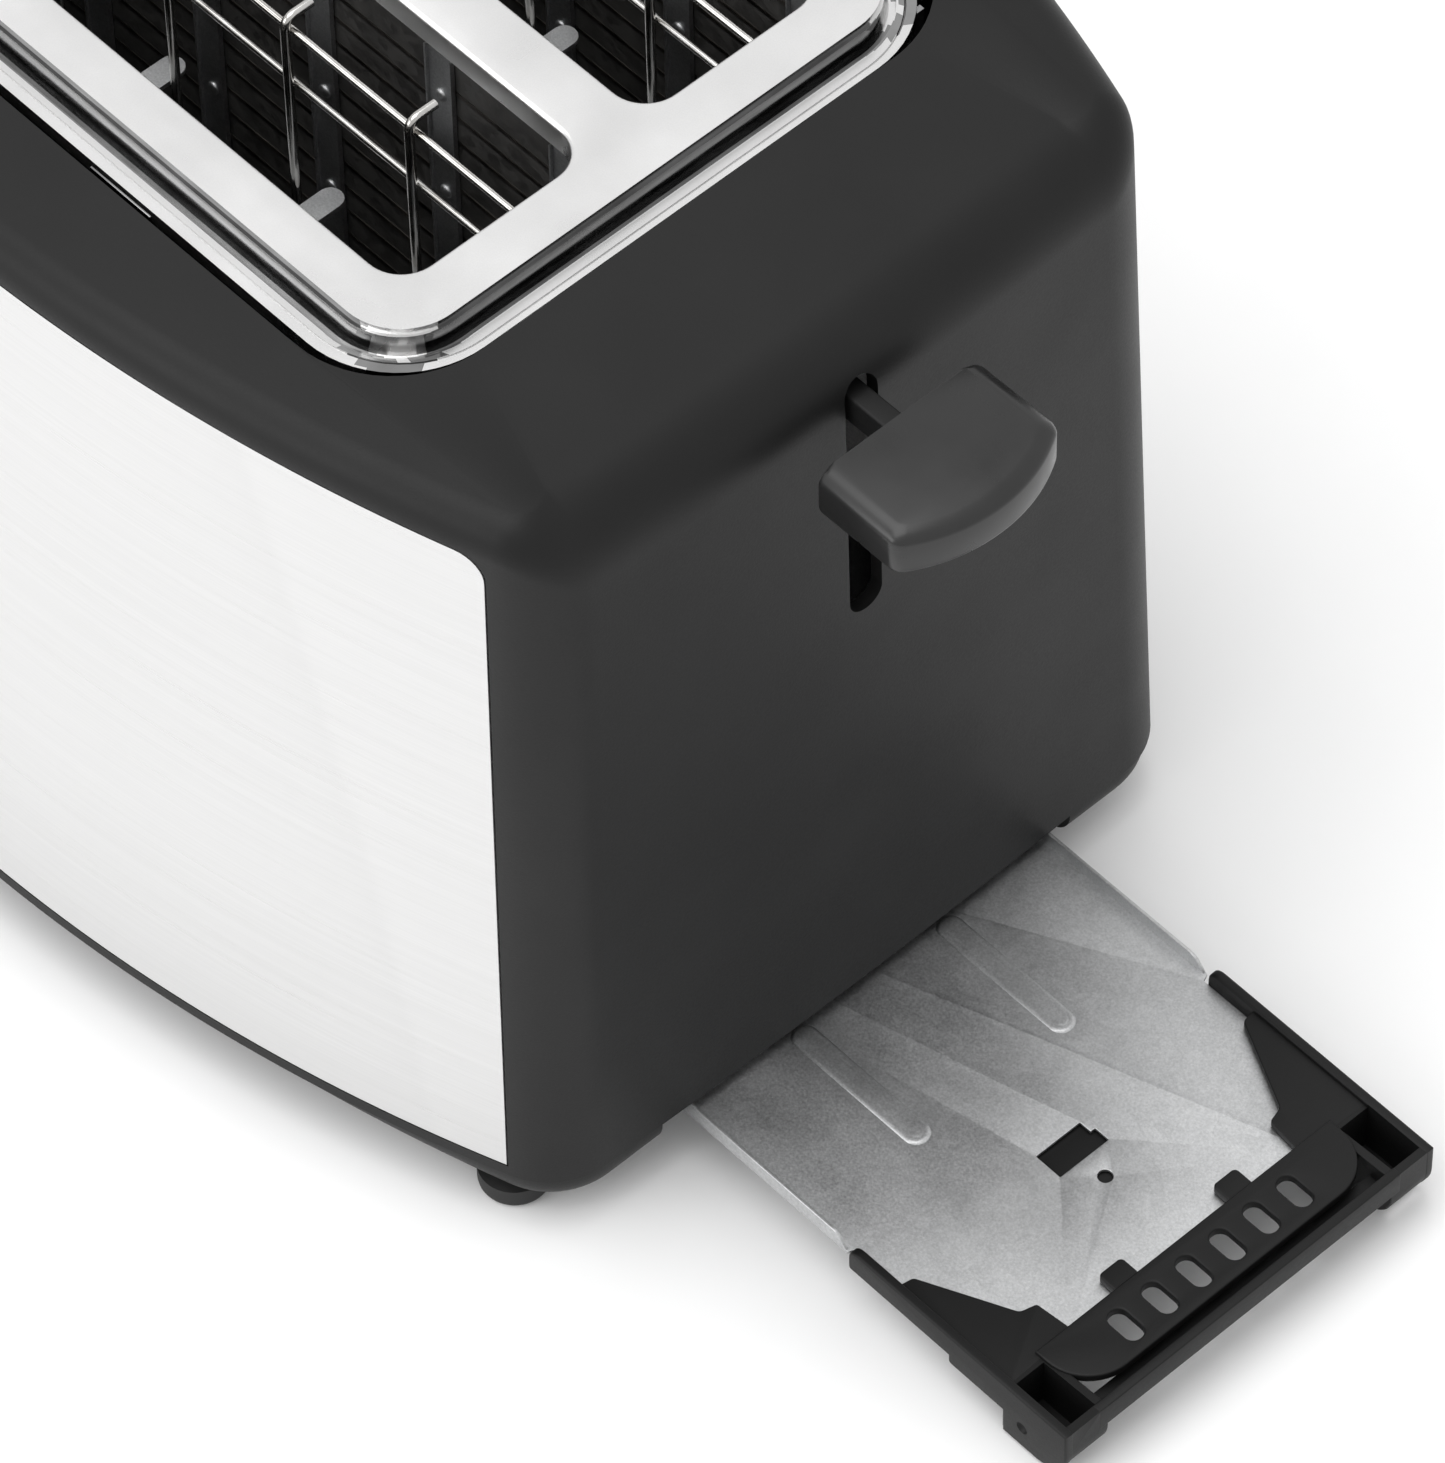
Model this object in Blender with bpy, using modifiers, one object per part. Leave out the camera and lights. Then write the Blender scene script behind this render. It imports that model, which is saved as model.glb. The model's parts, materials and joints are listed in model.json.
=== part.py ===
"""Two-slot pop-up toaster, modelled as separate sub-parts in one assembly.

Units are metres and +Z is up. Everything is laid out round the body: x = 0 is the middle of the body,
+X points to the lever end, y = 0 lies between the two bread slots and z = 0 is the worktop. One empty
carries the whole assembly and shifts it so that the origin is the middle of its footprint with the
crumb tray drawn out.
"""

import math

import bmesh
import bpy
from mathutils import Matrix, Vector

MM = 0.001
GAP = 0.3 * MM  # clearance between neighbouring pieces

# Housing: bowed long sides, nearly flat ends, drafted walls, rounded shoulder
HOUSING_BOTTOM = 13.5 * MM
HALF_LENGTH = 125.6 * MM  # at the bottom edge
END_DRAFT = 2.8 * MM  # how far each end leans in over the height
BELLY = 92.0 * MM  # half width at mid-length, at the bottom edge
SIDE_DRAFT = 7.9 * MM
BOW_RADIUS = 330 * MM
BOW_GROWTH = 28 * MM  # the sides are flatter at the top
CORNER_RADIUS = 14 * MM
END_BOW = 1.0 * MM
WALL = 2.5 * MM
END_SHOULDER_Z = 155 * MM
END_SHOULDER_RADIUS = 13 * MM
SIDE_SHOULDER_Z = 162.3 * MM
SIDE_SHOULDER_RADIUS = 6.5 * MM
SHOULDER_TURN = math.radians(84)
OPENING_Z = 169.6 * MM
OPENING_HALF = (86.0 * MM, 62.5 * MM)
OPENING_CORNER = 20 * MM
SIDE_STEPS = 10
CORNER_STEPS = 6
END_STEPS = 4
SHOULDER_STEPS = 5
END_CUT = (105 * MM, 135 * MM)  # reach of a cutter through an end wall

# Steel side panels, let into the long sides
PANEL_THICKNESS = 0.6 * MM
PANEL_Z = (16 * MM, 162 * MM)
PANEL_HALF = (116.0 * MM, 112.2 * MM)  # half length at the bottom and at the top edge
PANEL_CORNER = 5 * MM
CONTROL_PANEL_END = 70 * MM  # the control side's panel stops short of the controls

# Top plate
PLATE_Z = 171.2 * MM
PLATE_THICKNESS = 0.8 * MM
PLATE_HALF = (84.4 * MM, 59.7 * MM)
PLATE_CORNER = 19 * MM
PLATEAU_HALF = (78.2 * MM, 52.6 * MM)
FLANGE_DROP = 3.9 * MM
FLANGE_WIDTH = 3.2 * MM
FLANGE_LIP = 2.5 * MM
SLOT_LENGTH = 138.2 * MM
SLOT_WIDTH = 38.6 * MM
SLOT_Y = 25.0 * MM
SLOT_CORNER = 6.5 * MM
SLOT_LIP = 5.0 * MM

# Base, feet and screws
BASE_Z = (4.9 * MM, 13.2 * MM)
BASE_FLOOR_TOP = 7.6 * MM
BASE_BELLY = 89.0 * MM
BASE_BOW_RADIUS = 365 * MM
BASE_ROUND = 7.0 * MM
BASE_STEP_IN = 0.4 * MM  # the base's ends stand in from the housing's
BASE_WALL = 3.2 * MM
FOOT_RADIUS = 6.2 * MM
FOOT_XY = (110.2 * MM, 64.3 * MM)
MOUTH_X = 96.5 * MM
MOUTH_HALF = 45.5 * MM
RAIL_Y = 32 * MM
RAIL_HALF_WIDTH = 1.5 * MM
RAIL_X = (-90 * MM, MOUTH_X - 3 * MM)
SCREW_XY = (82.5 * MM, 50.5 * MM)
SCREW_HOLE_RADIUS = 1.8 * MM
SCREW_SHANK_RADIUS = 1.5 * MM
SCREW_SEAT_RADIUS = 3.4 * MM
SCREW_HEAD_RADIUS = 3.0 * MM
SCREW_SEAT_TOP = 6.5 * MM

# Toasting box
CHASSIS_X = 76.5 * MM
CHASSIS_HALF_Y = 57 * MM
CHASSIS_Z = (16 * MM, 163 * MM)
SHEET = 1.0 * MM
REFLECTOR_Y = 55.0 * MM
CARD_Y = 50.0 * MM
CARD_HALF_X = 74.5 * MM
CARD_Z = (26 * MM, 160 * MM)
CARD_THICKNESS = 0.9 * MM

# Bread guards: vertical wires on cross rods
GUARD_WIRE_RADIUS = 0.85 * MM
GUARD_ROD_RADIUS = 0.65 * MM
GUARD_FIRST_X = 41.1 * MM
GUARD_PITCH = 29.0 * MM
GUARD_WIRES = 4
GUARD_TOP = 164.6 * MM
GUARD_BOTTOM = 60 * MM
GUARD_ROD_Z = (66 * MM, 149.5 * MM, 161.8 * MM)
GUARD_BEND = 5.5 * MM
GUARD_Y = (-41.5 * MM, -17.7 * MM, 8.5 * MM, 32.3 * MM)
GUARD_BEND_SIDE = (-1, 1, -1, 1)
GUARD_HALF_LENGTH = 72.5 * MM

# Carriage: racks, plate, arm and knob all move with the lever
RACK_Z = 124 * MM
RACK_REACH = 12.5 * MM
RACK_SPINE = 6 * MM
TONGUE_WIDTH = 4.5 * MM
TONGUE_X = (-60.0 * MM, -21.6 * MM, 16.8 * MM, 55.2 * MM)
CARRIAGE_X = 84 * MM
ROD_XY = (96 * MM, 15 * MM)
ROD_RADIUS = 2.5 * MM
BUSH_RADII = (2.8 * MM, 4.4 * MM)
SHELF_X = (84 * MM, 112 * MM)
SHELF_Y = (-24 * MM, 24 * MM)
SHELF_THICKNESS = 1.2 * MM
ARM_Z = (151.2 * MM, 157.0 * MM)
ARM_HALF_WIDTH = 2.0 * MM
ARM_TIP_X = 145 * MM
LEVER_SLOT_Z = (106 * MM, 160.2 * MM)
LEVER_SLOT_WIDTH = 6.8 * MM
KNOB_X = (131.9 * MM, 154.6 * MM)
KNOB_BOW_RADIUS = 29.5 * MM
KNOB_CORNER = 3 * MM
KNOB_HALF_WIDTH = 17.0 * MM
KNOB_Z = (150.4 * MM, 159.0 * MM)
LEVER_TRAVEL = 43 * MM
MAGNET_XY = (104 * MM, -14 * MM)
MAGNET_FACE = RACK_Z - LEVER_TRAVEL - 6 * MM  # just under the keeper at the bottom of its travel
MAGNET_FOOT = MAGNET_FACE - 26 * MM
SPRING_XY = (92 * MM, -14 * MM)
BRACKET_Z = 160 * MM

# Controls, on the +Y side near the lever end
CONTROL_X = 86 * MM
DIAL_Z = 122 * MM
BUTTON_Z = (94 * MM, 77 * MM, 60 * MM)
BUTTON_NAMES = ("cancel", "reheat", "defrost")
BUTTON_SIZE = (15 * MM, 8 * MM)
BOARD_DEPTH = 18 * MM
DIAL_RADIUS = 11 * MM
DIAL_TOP = 9 * MM
SHAFT_RADIUS = 3.0 * MM
CONTROL_CUT = (-12 * MM, 8 * MM)  # reach of a cutter through the skin, along its normal

# Crumb tray, drawn out; it closes by sliding 89.3 mm further in
TRAY_SHEET_Z = (10.0 * MM, 10.6 * MM)
TRAY_HALF = 40.2 * MM
TRAY_X = (12 * MM, 200.5 * MM)
TRAY_FLANGE_END = 163 * MM
TRAY_FLANGE_TOP = 13.2 * MM
TRAY_RIB_Y = 16.2 * MM
TRAY_RIB_X = (125 * MM, 156 * MM)
TRAY_RIB_HALF_WIDTH = 2.4 * MM
FRONT_X = (163.9 * MM, 213.9 * MM)
FRONT_HALF = 41.0 * MM
FRONT_TOP = 13.2 * MM
FRONT_WALL = 1.8 * MM
FRONT_WALL_LOW = 8.2 * MM
LOBE_X = 199.0 * MM
LOBE_Y = 31.5 * MM
LOBE_BOTTOM = 0.5 * MM
BRIDGE_X = (198.4 * MM, 210.0 * MM)
BRIDGE_HALF = 32.8 * MM
BRIDGE_CORNER = 9 * MM
VENT_PITCH = 7.52 * MM
VENT_SIZE = (6.8 * MM, 3.6 * MM)
VENT_COUNT = 6
VENT_X = 204.5 * MM
TAB_Y = 12.7 * MM

# Cord inlet at the end away from the lever
GLAND_Z = 26 * MM
GLAND_END = 130.2 * MM
GLAND_COLLAR_RADIUS = 9.6 * MM
GLAND_SPIGOT_RADIUS = 6.8 * MM
GLAND_BORE_RADIUS = 3.6 * MM

ASSEMBLY_X = -(FRONT_X[1] - GLAND_END) / 2

FINISHES = {
    "black_plastic": ((0.014, 0.014, 0.015), 0.42, 0.0),
    "gloss_plastic": ((0.010, 0.010, 0.011), 0.25, 0.0),
    "brushed_steel": ((0.60, 0.60, 0.59), 0.34, 1.0),
    "satin_steel": ((0.66, 0.66, 0.65), 0.28, 1.0),
    "galvanised": ((0.42, 0.43, 0.44), 0.45, 1.0),
    "chrome_wire": ((0.50, 0.50, 0.50), 0.18, 1.0),
    "mica": ((0.06, 0.055, 0.05), 0.55, 0.0),
    "rubber": ((0.015, 0.015, 0.015), 0.80, 0.0),
    "copper": ((0.60, 0.28, 0.14), 0.35, 1.0),
    "board": ((0.03, 0.13, 0.06), 0.50, 0.0),
    "pale_plastic": ((0.55, 0.53, 0.48), 0.50, 0.0),
}


# Scene and object helpers


def clear_scene():
    for item in list(bpy.data.objects):
        bpy.data.objects.remove(item, do_unlink=True)


def new_collection(name):
    collection = bpy.data.collections.new(name)
    bpy.context.scene.collection.children.link(collection)
    return collection


clear_scene()
PARTS = new_collection("pop_up_toaster")
CUTTERS = new_collection("cutters")
ASSEMBLY = bpy.data.objects.new("assembly", None)
ASSEMBLY.location = (ASSEMBLY_X, 0, 0)
PARTS.objects.link(ASSEMBLY)


def object_from(name, bm):
    """An object in the cutters' collection, holding the bmesh with its faces turned outwards."""
    bmesh.ops.recalc_face_normals(bm, faces=bm.faces)
    mesh = bpy.data.meshes.new(name)
    bm.to_mesh(mesh)
    bm.free()
    item = bpy.data.objects.new(name, mesh)
    CUTTERS.objects.link(item)
    item.hide_render = True
    item.display_type = "WIRE"
    item.parent = ASSEMBLY
    return item


def finished(item, finish, parent=None, smooth=False):
    """Moves an object from the cutters to the parts and gives it its own material."""
    CUTTERS.objects.unlink(item)
    PARTS.objects.link(item)
    item.hide_render = False
    item.display_type = "TEXTURED"
    if parent:
        item.parent = parent
    if smooth:
        item.data.shade_smooth()
        item.data.set_sharp_from_angle(angle=math.radians(35))
    colour, roughness, metallic = FINISHES[finish]
    material = bpy.data.materials.new(f"{item.name}_{finish}")
    material.use_nodes = True
    shader = material.node_tree.nodes["Principled BSDF"]
    shader.inputs["Base Color"].default_value = (*colour, 1)
    shader.inputs["Roughness"].default_value = roughness
    shader.inputs["Metallic"].default_value = metallic
    item.data.materials.append(material)
    return item


def combine(target, operation, *others):
    for other in others:
        modifier = target.modifiers.new(f"{operation.lower()}_{other.name}", "BOOLEAN")
        modifier.operation = operation
        modifier.solver = "EXACT"
        modifier.object = other
    return target


def cut(target, *others):
    return combine(target, "DIFFERENCE", *others)


def join(target, *others):
    return combine(target, "UNION", *others)


def round_edges(item, width, segments=2):
    modifier = item.modifiers.new("rounded_edges", "BEVEL")
    modifier.width = width
    modifier.segments = segments
    modifier.limit_method = "ANGLE"
    modifier.angle_limit = math.radians(40)
    return item


# Shape helpers


def box(name, low, high):
    bm = bmesh.new()
    size = [b - a for a, b in zip(low, high)]
    centre = [(a + b) / 2 for a, b in zip(low, high)]
    matrix = Matrix.Translation(centre) @ Matrix.Diagonal((*size, 1))
    bmesh.ops.create_cube(bm, size=1, matrix=matrix)
    return object_from(name, bm)


def rod(name, radius, start, end, segments=16):
    """A round bar from start to end."""
    start, end = Vector(start), Vector(end)
    along = end - start
    turn = along.to_track_quat("Z", "Y").to_matrix().to_4x4()
    bm = bmesh.new()
    bmesh.ops.create_cone(
        bm,
        cap_ends=True,
        segments=segments,
        radius1=radius,
        radius2=radius,
        depth=along.length,
        matrix=Matrix.Translation((start + end) / 2) @ turn,
    )
    return object_from(name, bm)


def turned(name, profile, steps=32):
    """A solid of revolution about +Z. The profile of (radius, z) runs from the top down its outer side."""
    bm = bmesh.new()
    points = [bm.verts.new((r, 0, z)) for r, z in profile]
    for a, b in zip(points, points[1:]):
        bm.edges.new((a, b))
    item = object_from(name, bm)
    screw = item.modifiers.new("turn", "SCREW")
    screw.steps = steps
    screw.render_steps = steps
    screw.use_merge_vertices = True
    screw.merge_threshold = 0.01 * MM
    return item


def placed(item, location, turn_x=0.0):
    item.location = location
    item.rotation_euler = (turn_x, 0, 0)
    return item


def rounded_rectangle(half_x, half_y, radius, centre=(0, 0), steps=5):
    """Counter-clockwise outline, one arc at each corner."""
    points = []
    corners = ((1, 1), (-1, 1), (-1, -1), (1, -1))
    for quarter, (sign_x, sign_y) in enumerate(corners):
        for step in range(steps + 1):
            angle = math.pi / 2 * (quarter + step / steps)
            x = centre[0] + sign_x * (half_x - radius) + radius * math.cos(angle)
            y = centre[1] + sign_y * (half_y - radius) + radius * math.sin(angle)
            points.append((x, y))
    return points


def mesh_from_curve(item):
    """Turns a curve object into a mesh with its caps welded on."""
    bpy.context.view_layer.update()
    evaluated = item.evaluated_get(bpy.context.evaluated_depsgraph_get())
    mesh = bpy.data.meshes.new_from_object(evaluated)
    bm = bmesh.new()
    bm.from_mesh(mesh)
    bm.transform(item.matrix_world)
    bmesh.ops.remove_doubles(bm, verts=bm.verts, dist=0.01 * MM)
    name = item.name
    bpy.data.meshes.remove(mesh)
    bpy.data.objects.remove(item, do_unlink=True)
    return object_from(name, bm)


PLANES = {
    "XY": Matrix.Identity(4),
    "YZ": Matrix(((0, 0, 1, 0), (1, 0, 0, 0), (0, 1, 0, 0), (0, 0, 0, 1))),
    "XZ": Matrix(((1, 0, 0, 0), (0, 0, -1, 0), (0, 1, 0, 0), (0, 0, 0, 1))),
}


def prism(name, outlines, low, high, plane="XY"):
    """A flat outline, with any holes after it, given thickness from low to high across the plane."""
    curve = bpy.data.curves.new(name, "CURVE")
    curve.dimensions = "2D"
    curve.fill_mode = "BOTH"
    curve.extrude = (high - low) / 2
    for outline in outlines:
        spline = curve.splines.new("POLY")
        spline.points.add(len(outline) - 1)
        for point, (u, v) in zip(spline.points, outline):
            point.co = (u, v, 0, 1)
        spline.use_cyclic_u = True
    item = bpy.data.objects.new(name, curve)
    CUTTERS.objects.link(item)
    middle = (low + high) / 2
    offset = {"XY": (0, 0, middle), "YZ": (middle, 0, 0), "XZ": (0, middle, 0)}[plane]
    item.matrix_world = Matrix.Translation(offset) @ PLANES[plane]
    return mesh_from_curve(item)


def wire(name, points, radius, resolution=2):
    """A bent wire with closed ends."""
    curve = bpy.data.curves.new(name, "CURVE")
    curve.dimensions = "3D"
    curve.bevel_depth = radius
    curve.bevel_resolution = resolution
    curve.use_fill_caps = True
    spline = curve.splines.new("POLY")
    spline.points.add(len(points) - 1)
    for point, place in zip(spline.points, points):
        point.co = (*place, 1)
    item = bpy.data.objects.new(name, curve)
    CUTTERS.objects.link(item)
    return mesh_from_curve(item)


def loft(name, rings, closed):
    """Quads between successive rings of equal length, with flat end faces where it is closed."""
    bm = bmesh.new()
    levels = [[bm.verts.new(point) for point in ring] for ring in rings]
    count = len(rings[0])
    for lower, upper in zip(levels, levels[1:]):
        for i in range(count):
            j = (i + 1) % count
            bm.faces.new((lower[i], lower[j], upper[j], upper[i]))
    if closed:
        bm.faces.new(levels[0])
        bm.faces.new(levels[-1])
    return object_from(name, bm)


# The body's plan


def body_outline(half_length, belly, radius, corner, bow=0.0):
    """Plan outline as (x, y, sideness). Sideness runs from 0 on the ends to 1 on the long sides."""
    arc_centre = belly - radius
    corner_x = half_length - corner
    corner_y = arc_centre + math.sqrt((radius - corner) ** 2 - corner_x**2)
    lean = math.asin(corner_x / (radius - corner))
    quarter = []
    for step in range(END_STEPS):
        share = step / END_STEPS
        quarter.append((half_length + bow * (1 - share**2), corner_y * share, 0.0))
    for step in range(CORNER_STEPS):
        share = step / CORNER_STEPS
        angle = (math.pi / 2 - lean) * share
        x = corner_x + corner * math.cos(angle)
        y = corner_y + corner * math.sin(angle)
        quarter.append((x, y, share * share * (3 - 2 * share)))
    for step in range(SIDE_STEPS + 1):
        angle = lean * (1 - step / SIDE_STEPS)
        x = radius * math.sin(angle)
        y = arc_centre + radius * math.cos(angle)
        quarter.append((x, y, 1.0))
    left = [(-x, y, s) for x, y, s in quarter[-2::-1]]
    half = quarter + left
    return half + [(x, -y, s) for x, y, s in half[-2:0:-1]]


def outline_normals(outline):
    """Outward unit normals in plan."""
    normals = []
    for i in range(len(outline)):
        before, after = outline[i - 1], outline[(i + 1) % len(outline)]
        tangent = Vector((after[0] - before[0], after[1] - before[1]))
        normals.append(Vector((tangent.y, -tangent.x)).normalized())
    return normals


def draft_share(z):
    return (z - HOUSING_BOTTOM) / (SIDE_SHOULDER_Z - HOUSING_BOTTOM)


def side_y(x, z):
    """Distance of the long side's skin from the middle plane."""
    share = draft_share(z)
    radius = BOW_RADIUS + BOW_GROWTH * share
    return BELLY - SIDE_DRAFT * share - radius + math.sqrt(radius**2 - x**2)


def mix(a, b, share):
    return a + (b - a) * share


def skin_rings():
    """Rings of the housing's outer skin, from its bottom edge up to the opening for the top plate."""
    top_belly = BELLY - SIDE_DRAFT
    top_length = HALF_LENGTH - END_DRAFT
    bottom = body_outline(HALF_LENGTH, BELLY, BOW_RADIUS, CORNER_RADIUS, END_BOW)
    top = body_outline(top_length, top_belly, BOW_RADIUS + BOW_GROWTH, CORNER_RADIUS, END_BOW)
    opening = body_outline(*OPENING_HALF, 50 * BOW_RADIUS, OPENING_CORNER)
    normals = outline_normals(top)

    def on_wall(i, z):
        share = draft_share(z)
        return Vector((mix(bottom[i][0], top[i][0], share), mix(bottom[i][1], top[i][1], share), z))

    count = len(top)
    rings = [[on_wall(i, z) for i in range(count)] for z in (HOUSING_BOTTOM, 80 * MM)]
    for step in range(SHOULDER_STEPS + 1):
        angle = SHOULDER_TURN * step / SHOULDER_STEPS
        ring = []
        for i, (_, _, sideness) in enumerate(top):
            radius = mix(END_SHOULDER_RADIUS, SIDE_SHOULDER_RADIUS, sideness)
            start = on_wall(i, mix(END_SHOULDER_Z, SIDE_SHOULDER_Z, sideness))
            inward = normals[i] * radius * (1 - math.cos(angle))
            ring.append(start + Vector((-inward.x, -inward.y, radius * math.sin(angle))))
        rings.append(ring)
    rings.append([Vector((x, y, OPENING_Z)) for x, y, _ in opening])
    return rings


def curved_slab(name, side, depth, outside):
    """A slab that follows the long side's skin, from depth inside it to some way outside it."""
    steps_x, steps_z = 32, 3
    low_z, high_z = HOUSING_BOTTOM - 2 * MM, SIDE_SHOULDER_Z + 2 * MM
    bm = bmesh.new()
    bmesh.ops.create_grid(bm, x_segments=steps_x, y_segments=steps_z, size=0.5)
    for vert in bm.verts:
        x = vert.co.x * 2 * (PANEL_HALF[0] + 3 * MM)
        z = mix(low_z, high_z, vert.co.y + 0.5)
        vert.co = (x, side * (side_y(x, z) - depth), z)
    extruded = bmesh.ops.extrude_face_region(bm, geom=bm.faces[:])
    for vert in [v for v in extruded["geom"] if isinstance(v, bmesh.types.BMVert)]:
        vert.co.y += side * (depth + outside)
    return object_from(name, bm)


def panel_outline(grow, right_end):
    """Outline in x and z of a side panel: sharp lower corners and rounded upper ones."""
    low_z, high_z = PANEL_Z[0] - grow, PANEL_Z[1] + grow
    low_x, high_x = PANEL_HALF[0] + grow, PANEL_HALF[1] + grow
    right_low = min(low_x, right_end + grow)
    right_high = min(high_x, right_end + grow)
    outline = [(-low_x, low_z), (right_low, low_z)]
    corners = ((right_high - PANEL_CORNER, 0), (-high_x + PANEL_CORNER, math.pi / 2))
    for centre_x, first in corners:
        for step in range(5):
            angle = first + math.pi / 2 * step / 4
            x = centre_x + PANEL_CORNER * math.cos(angle)
            z = high_z - PANEL_CORNER + PANEL_CORNER * math.sin(angle)
            outline.append((x, z))
    return outline


def panel_end(side):
    return PANEL_HALF[0] if side < 0 else CONTROL_PANEL_END


def side_panel(name, side):
    panel = curved_slab(name, side, PANEL_THICKNESS, 0)
    outline = panel_outline(0, panel_end(side))
    blank = prism(name + "_blank", [outline], *sorted((side * 40 * MM, side * 110 * MM)), "XZ")
    combine(panel, "INTERSECT", blank)
    return finished(panel, "brushed_steel", smooth=True)


def panel_recess(side):
    name = f"panel_recess_{'plain' if side < 0 else 'control'}"
    recess = curved_slab(name, side, PANEL_THICKNESS + GAP, 6 * MM)
    outline = panel_outline(GAP, panel_end(side))
    blank = prism(name + "_blank", [outline], *sorted((side * 40 * MM, side * 110 * MM)), "XZ")
    return combine(recess, "INTERSECT", blank)


# Controls' local frame: +Y of the frame points straight out of the skin


def control_frame():
    middle_z = (DIAL_Z + BUTTON_Z[-1]) / 2
    share = draft_share(middle_z)
    lean = math.asin(CONTROL_X / (BOW_RADIUS + BOW_GROWTH * share))
    frame = bpy.data.objects.new("control_face", None)
    PARTS.objects.link(frame)
    frame.parent = ASSEMBLY
    frame.location = (CONTROL_X, side_y(CONTROL_X, middle_z), 0)
    frame.rotation_euler = (0, 0, -lean)
    return frame


def button_outline(grow, z):
    half_x, half_z = BUTTON_SIZE[0] / 2 + grow, BUTTON_SIZE[1] / 2 + grow
    return rounded_rectangle(half_x, half_z, 2.5 * MM + grow, (0, z))


def control_holes(frame):
    """Cutters for the dial's shaft and the buttons, through the housing wall."""
    inner, outer = CONTROL_CUT
    shaft = rod("dial_hole", SHAFT_RADIUS + 2 * GAP, (0, inner, DIAL_Z), (0, outer, DIAL_Z), 24)
    holes = [shaft]
    for name, z in zip(BUTTON_NAMES, BUTTON_Z):
        outline = button_outline(0.4 * MM, z)
        holes.append(prism(f"hole_{name}", [outline], inner, outer, "XZ"))
    for hole in holes:
        hole.parent = frame
    return holes


# Shells


def housing(frame):
    shell = loft("housing", skin_rings(), closed=False)
    thickness = shell.modifiers.new("wall", "SOLIDIFY")
    thickness.thickness = WALL
    thickness.offset = -1
    thickness.use_even_offset = True
    low, high = LEVER_SLOT_Z
    half_width = LEVER_SLOT_WIDTH / 2
    slot = rounded_rectangle(half_width, (high - low) / 2, half_width - 0.1 * MM, (0, (low + high) / 2))
    lever_slot = prism("lever_slot", [slot], *END_CUT, "YZ")
    near, far = (-END_CUT[0], 0, GLAND_Z), (-END_CUT[1], 0, GLAND_Z)
    gland_hole = rod("gland_hole", GLAND_SPIGOT_RADIUS + 0.5 * MM, far, near, 32)
    cut(shell, panel_recess(-1), panel_recess(1), lever_slot, gland_hole, *control_holes(frame))
    return finished(shell, "black_plastic", smooth=True)


def plate_ring(half_x, half_y, corner, z):
    return [(x, y, z) for x, y in rounded_rectangle(half_x, half_y, corner, steps=6)]


def top_plate():
    """Pressed plate: outer lip, flange, gutter wall and raised plateau, then the two slots with lips."""
    flange_x, flange_y = PLATE_HALF
    flange_z = PLATE_Z - FLANGE_DROP
    wall_x, wall_y = flange_x - FLANGE_WIDTH, flange_y - FLANGE_WIDTH
    rings = [
        plate_ring(flange_x, flange_y, PLATE_CORNER, flange_z - FLANGE_LIP),
        plate_ring(flange_x, flange_y, PLATE_CORNER, flange_z - 0.5 * MM),
        plate_ring(flange_x - 0.5 * MM, flange_y - 0.5 * MM, PLATE_CORNER - 0.5 * MM, flange_z),
        plate_ring(wall_x, wall_y, 15.3 * MM, flange_z - 0.3 * MM),
        plate_ring(wall_x - 0.8 * MM, wall_y - 0.8 * MM, 14 * MM, flange_z),
        plate_ring(PLATEAU_HALF[0] + 1.2 * MM, PLATEAU_HALF[1] + 1.6 * MM, 11 * MM, PLATE_Z - 1.6 * MM),
        plate_ring(PLATEAU_HALF[0] + 0.6 * MM, PLATEAU_HALF[1] + 0.8 * MM, 10.5 * MM, PLATE_Z - 0.4 * MM),
        plate_ring(*PLATEAU_HALF, 10 * MM, PLATE_Z),
    ]
    plate = loft("top_plate", rings, closed=True)
    bm = bmesh.new()
    bm.from_mesh(plate.data)
    bottom = min(bm.faces, key=lambda face: face.calc_center_median().z)
    bmesh.ops.delete(bm, geom=[bottom], context="FACES_ONLY")
    bm.to_mesh(plate.data)
    bm.free()
    thickness = plate.modifiers.new("sheet", "SOLIDIFY")
    thickness.thickness = PLATE_THICKNESS
    thickness.offset = -1
    thickness.use_even_offset = True
    lip = PLATE_THICKNESS
    for side in (-1, 1):
        centre = (0, side * SLOT_Y)
        outer = rounded_rectangle(
            SLOT_LENGTH / 2 + lip, SLOT_WIDTH / 2 + lip, SLOT_CORNER + lip, centre
        )
        block = prism(f"slot_lip_{side}", [outer], PLATE_Z - SLOT_LIP, PLATE_Z - 0.3 * MM)
        join(plate, block)
    for side in (-1, 1):
        inner = rounded_rectangle(SLOT_LENGTH / 2, SLOT_WIDTH / 2, SLOT_CORNER, (0, side * SLOT_Y))
        cut(plate, prism(f"slot_{side}", [inner], PLATE_Z - 12 * MM, PLATE_Z + 5 * MM))
    return finished(plate, "satin_steel", smooth=True)


def base_ring(inset, z):
    half_length = HALF_LENGTH - BASE_STEP_IN - inset
    corner = CORNER_RADIUS - inset / 2
    outline = body_outline(half_length, BASE_BELLY - inset, BASE_BOW_RADIUS, corner)
    return [(x, y, z) for x, y, _ in outline]


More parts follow.
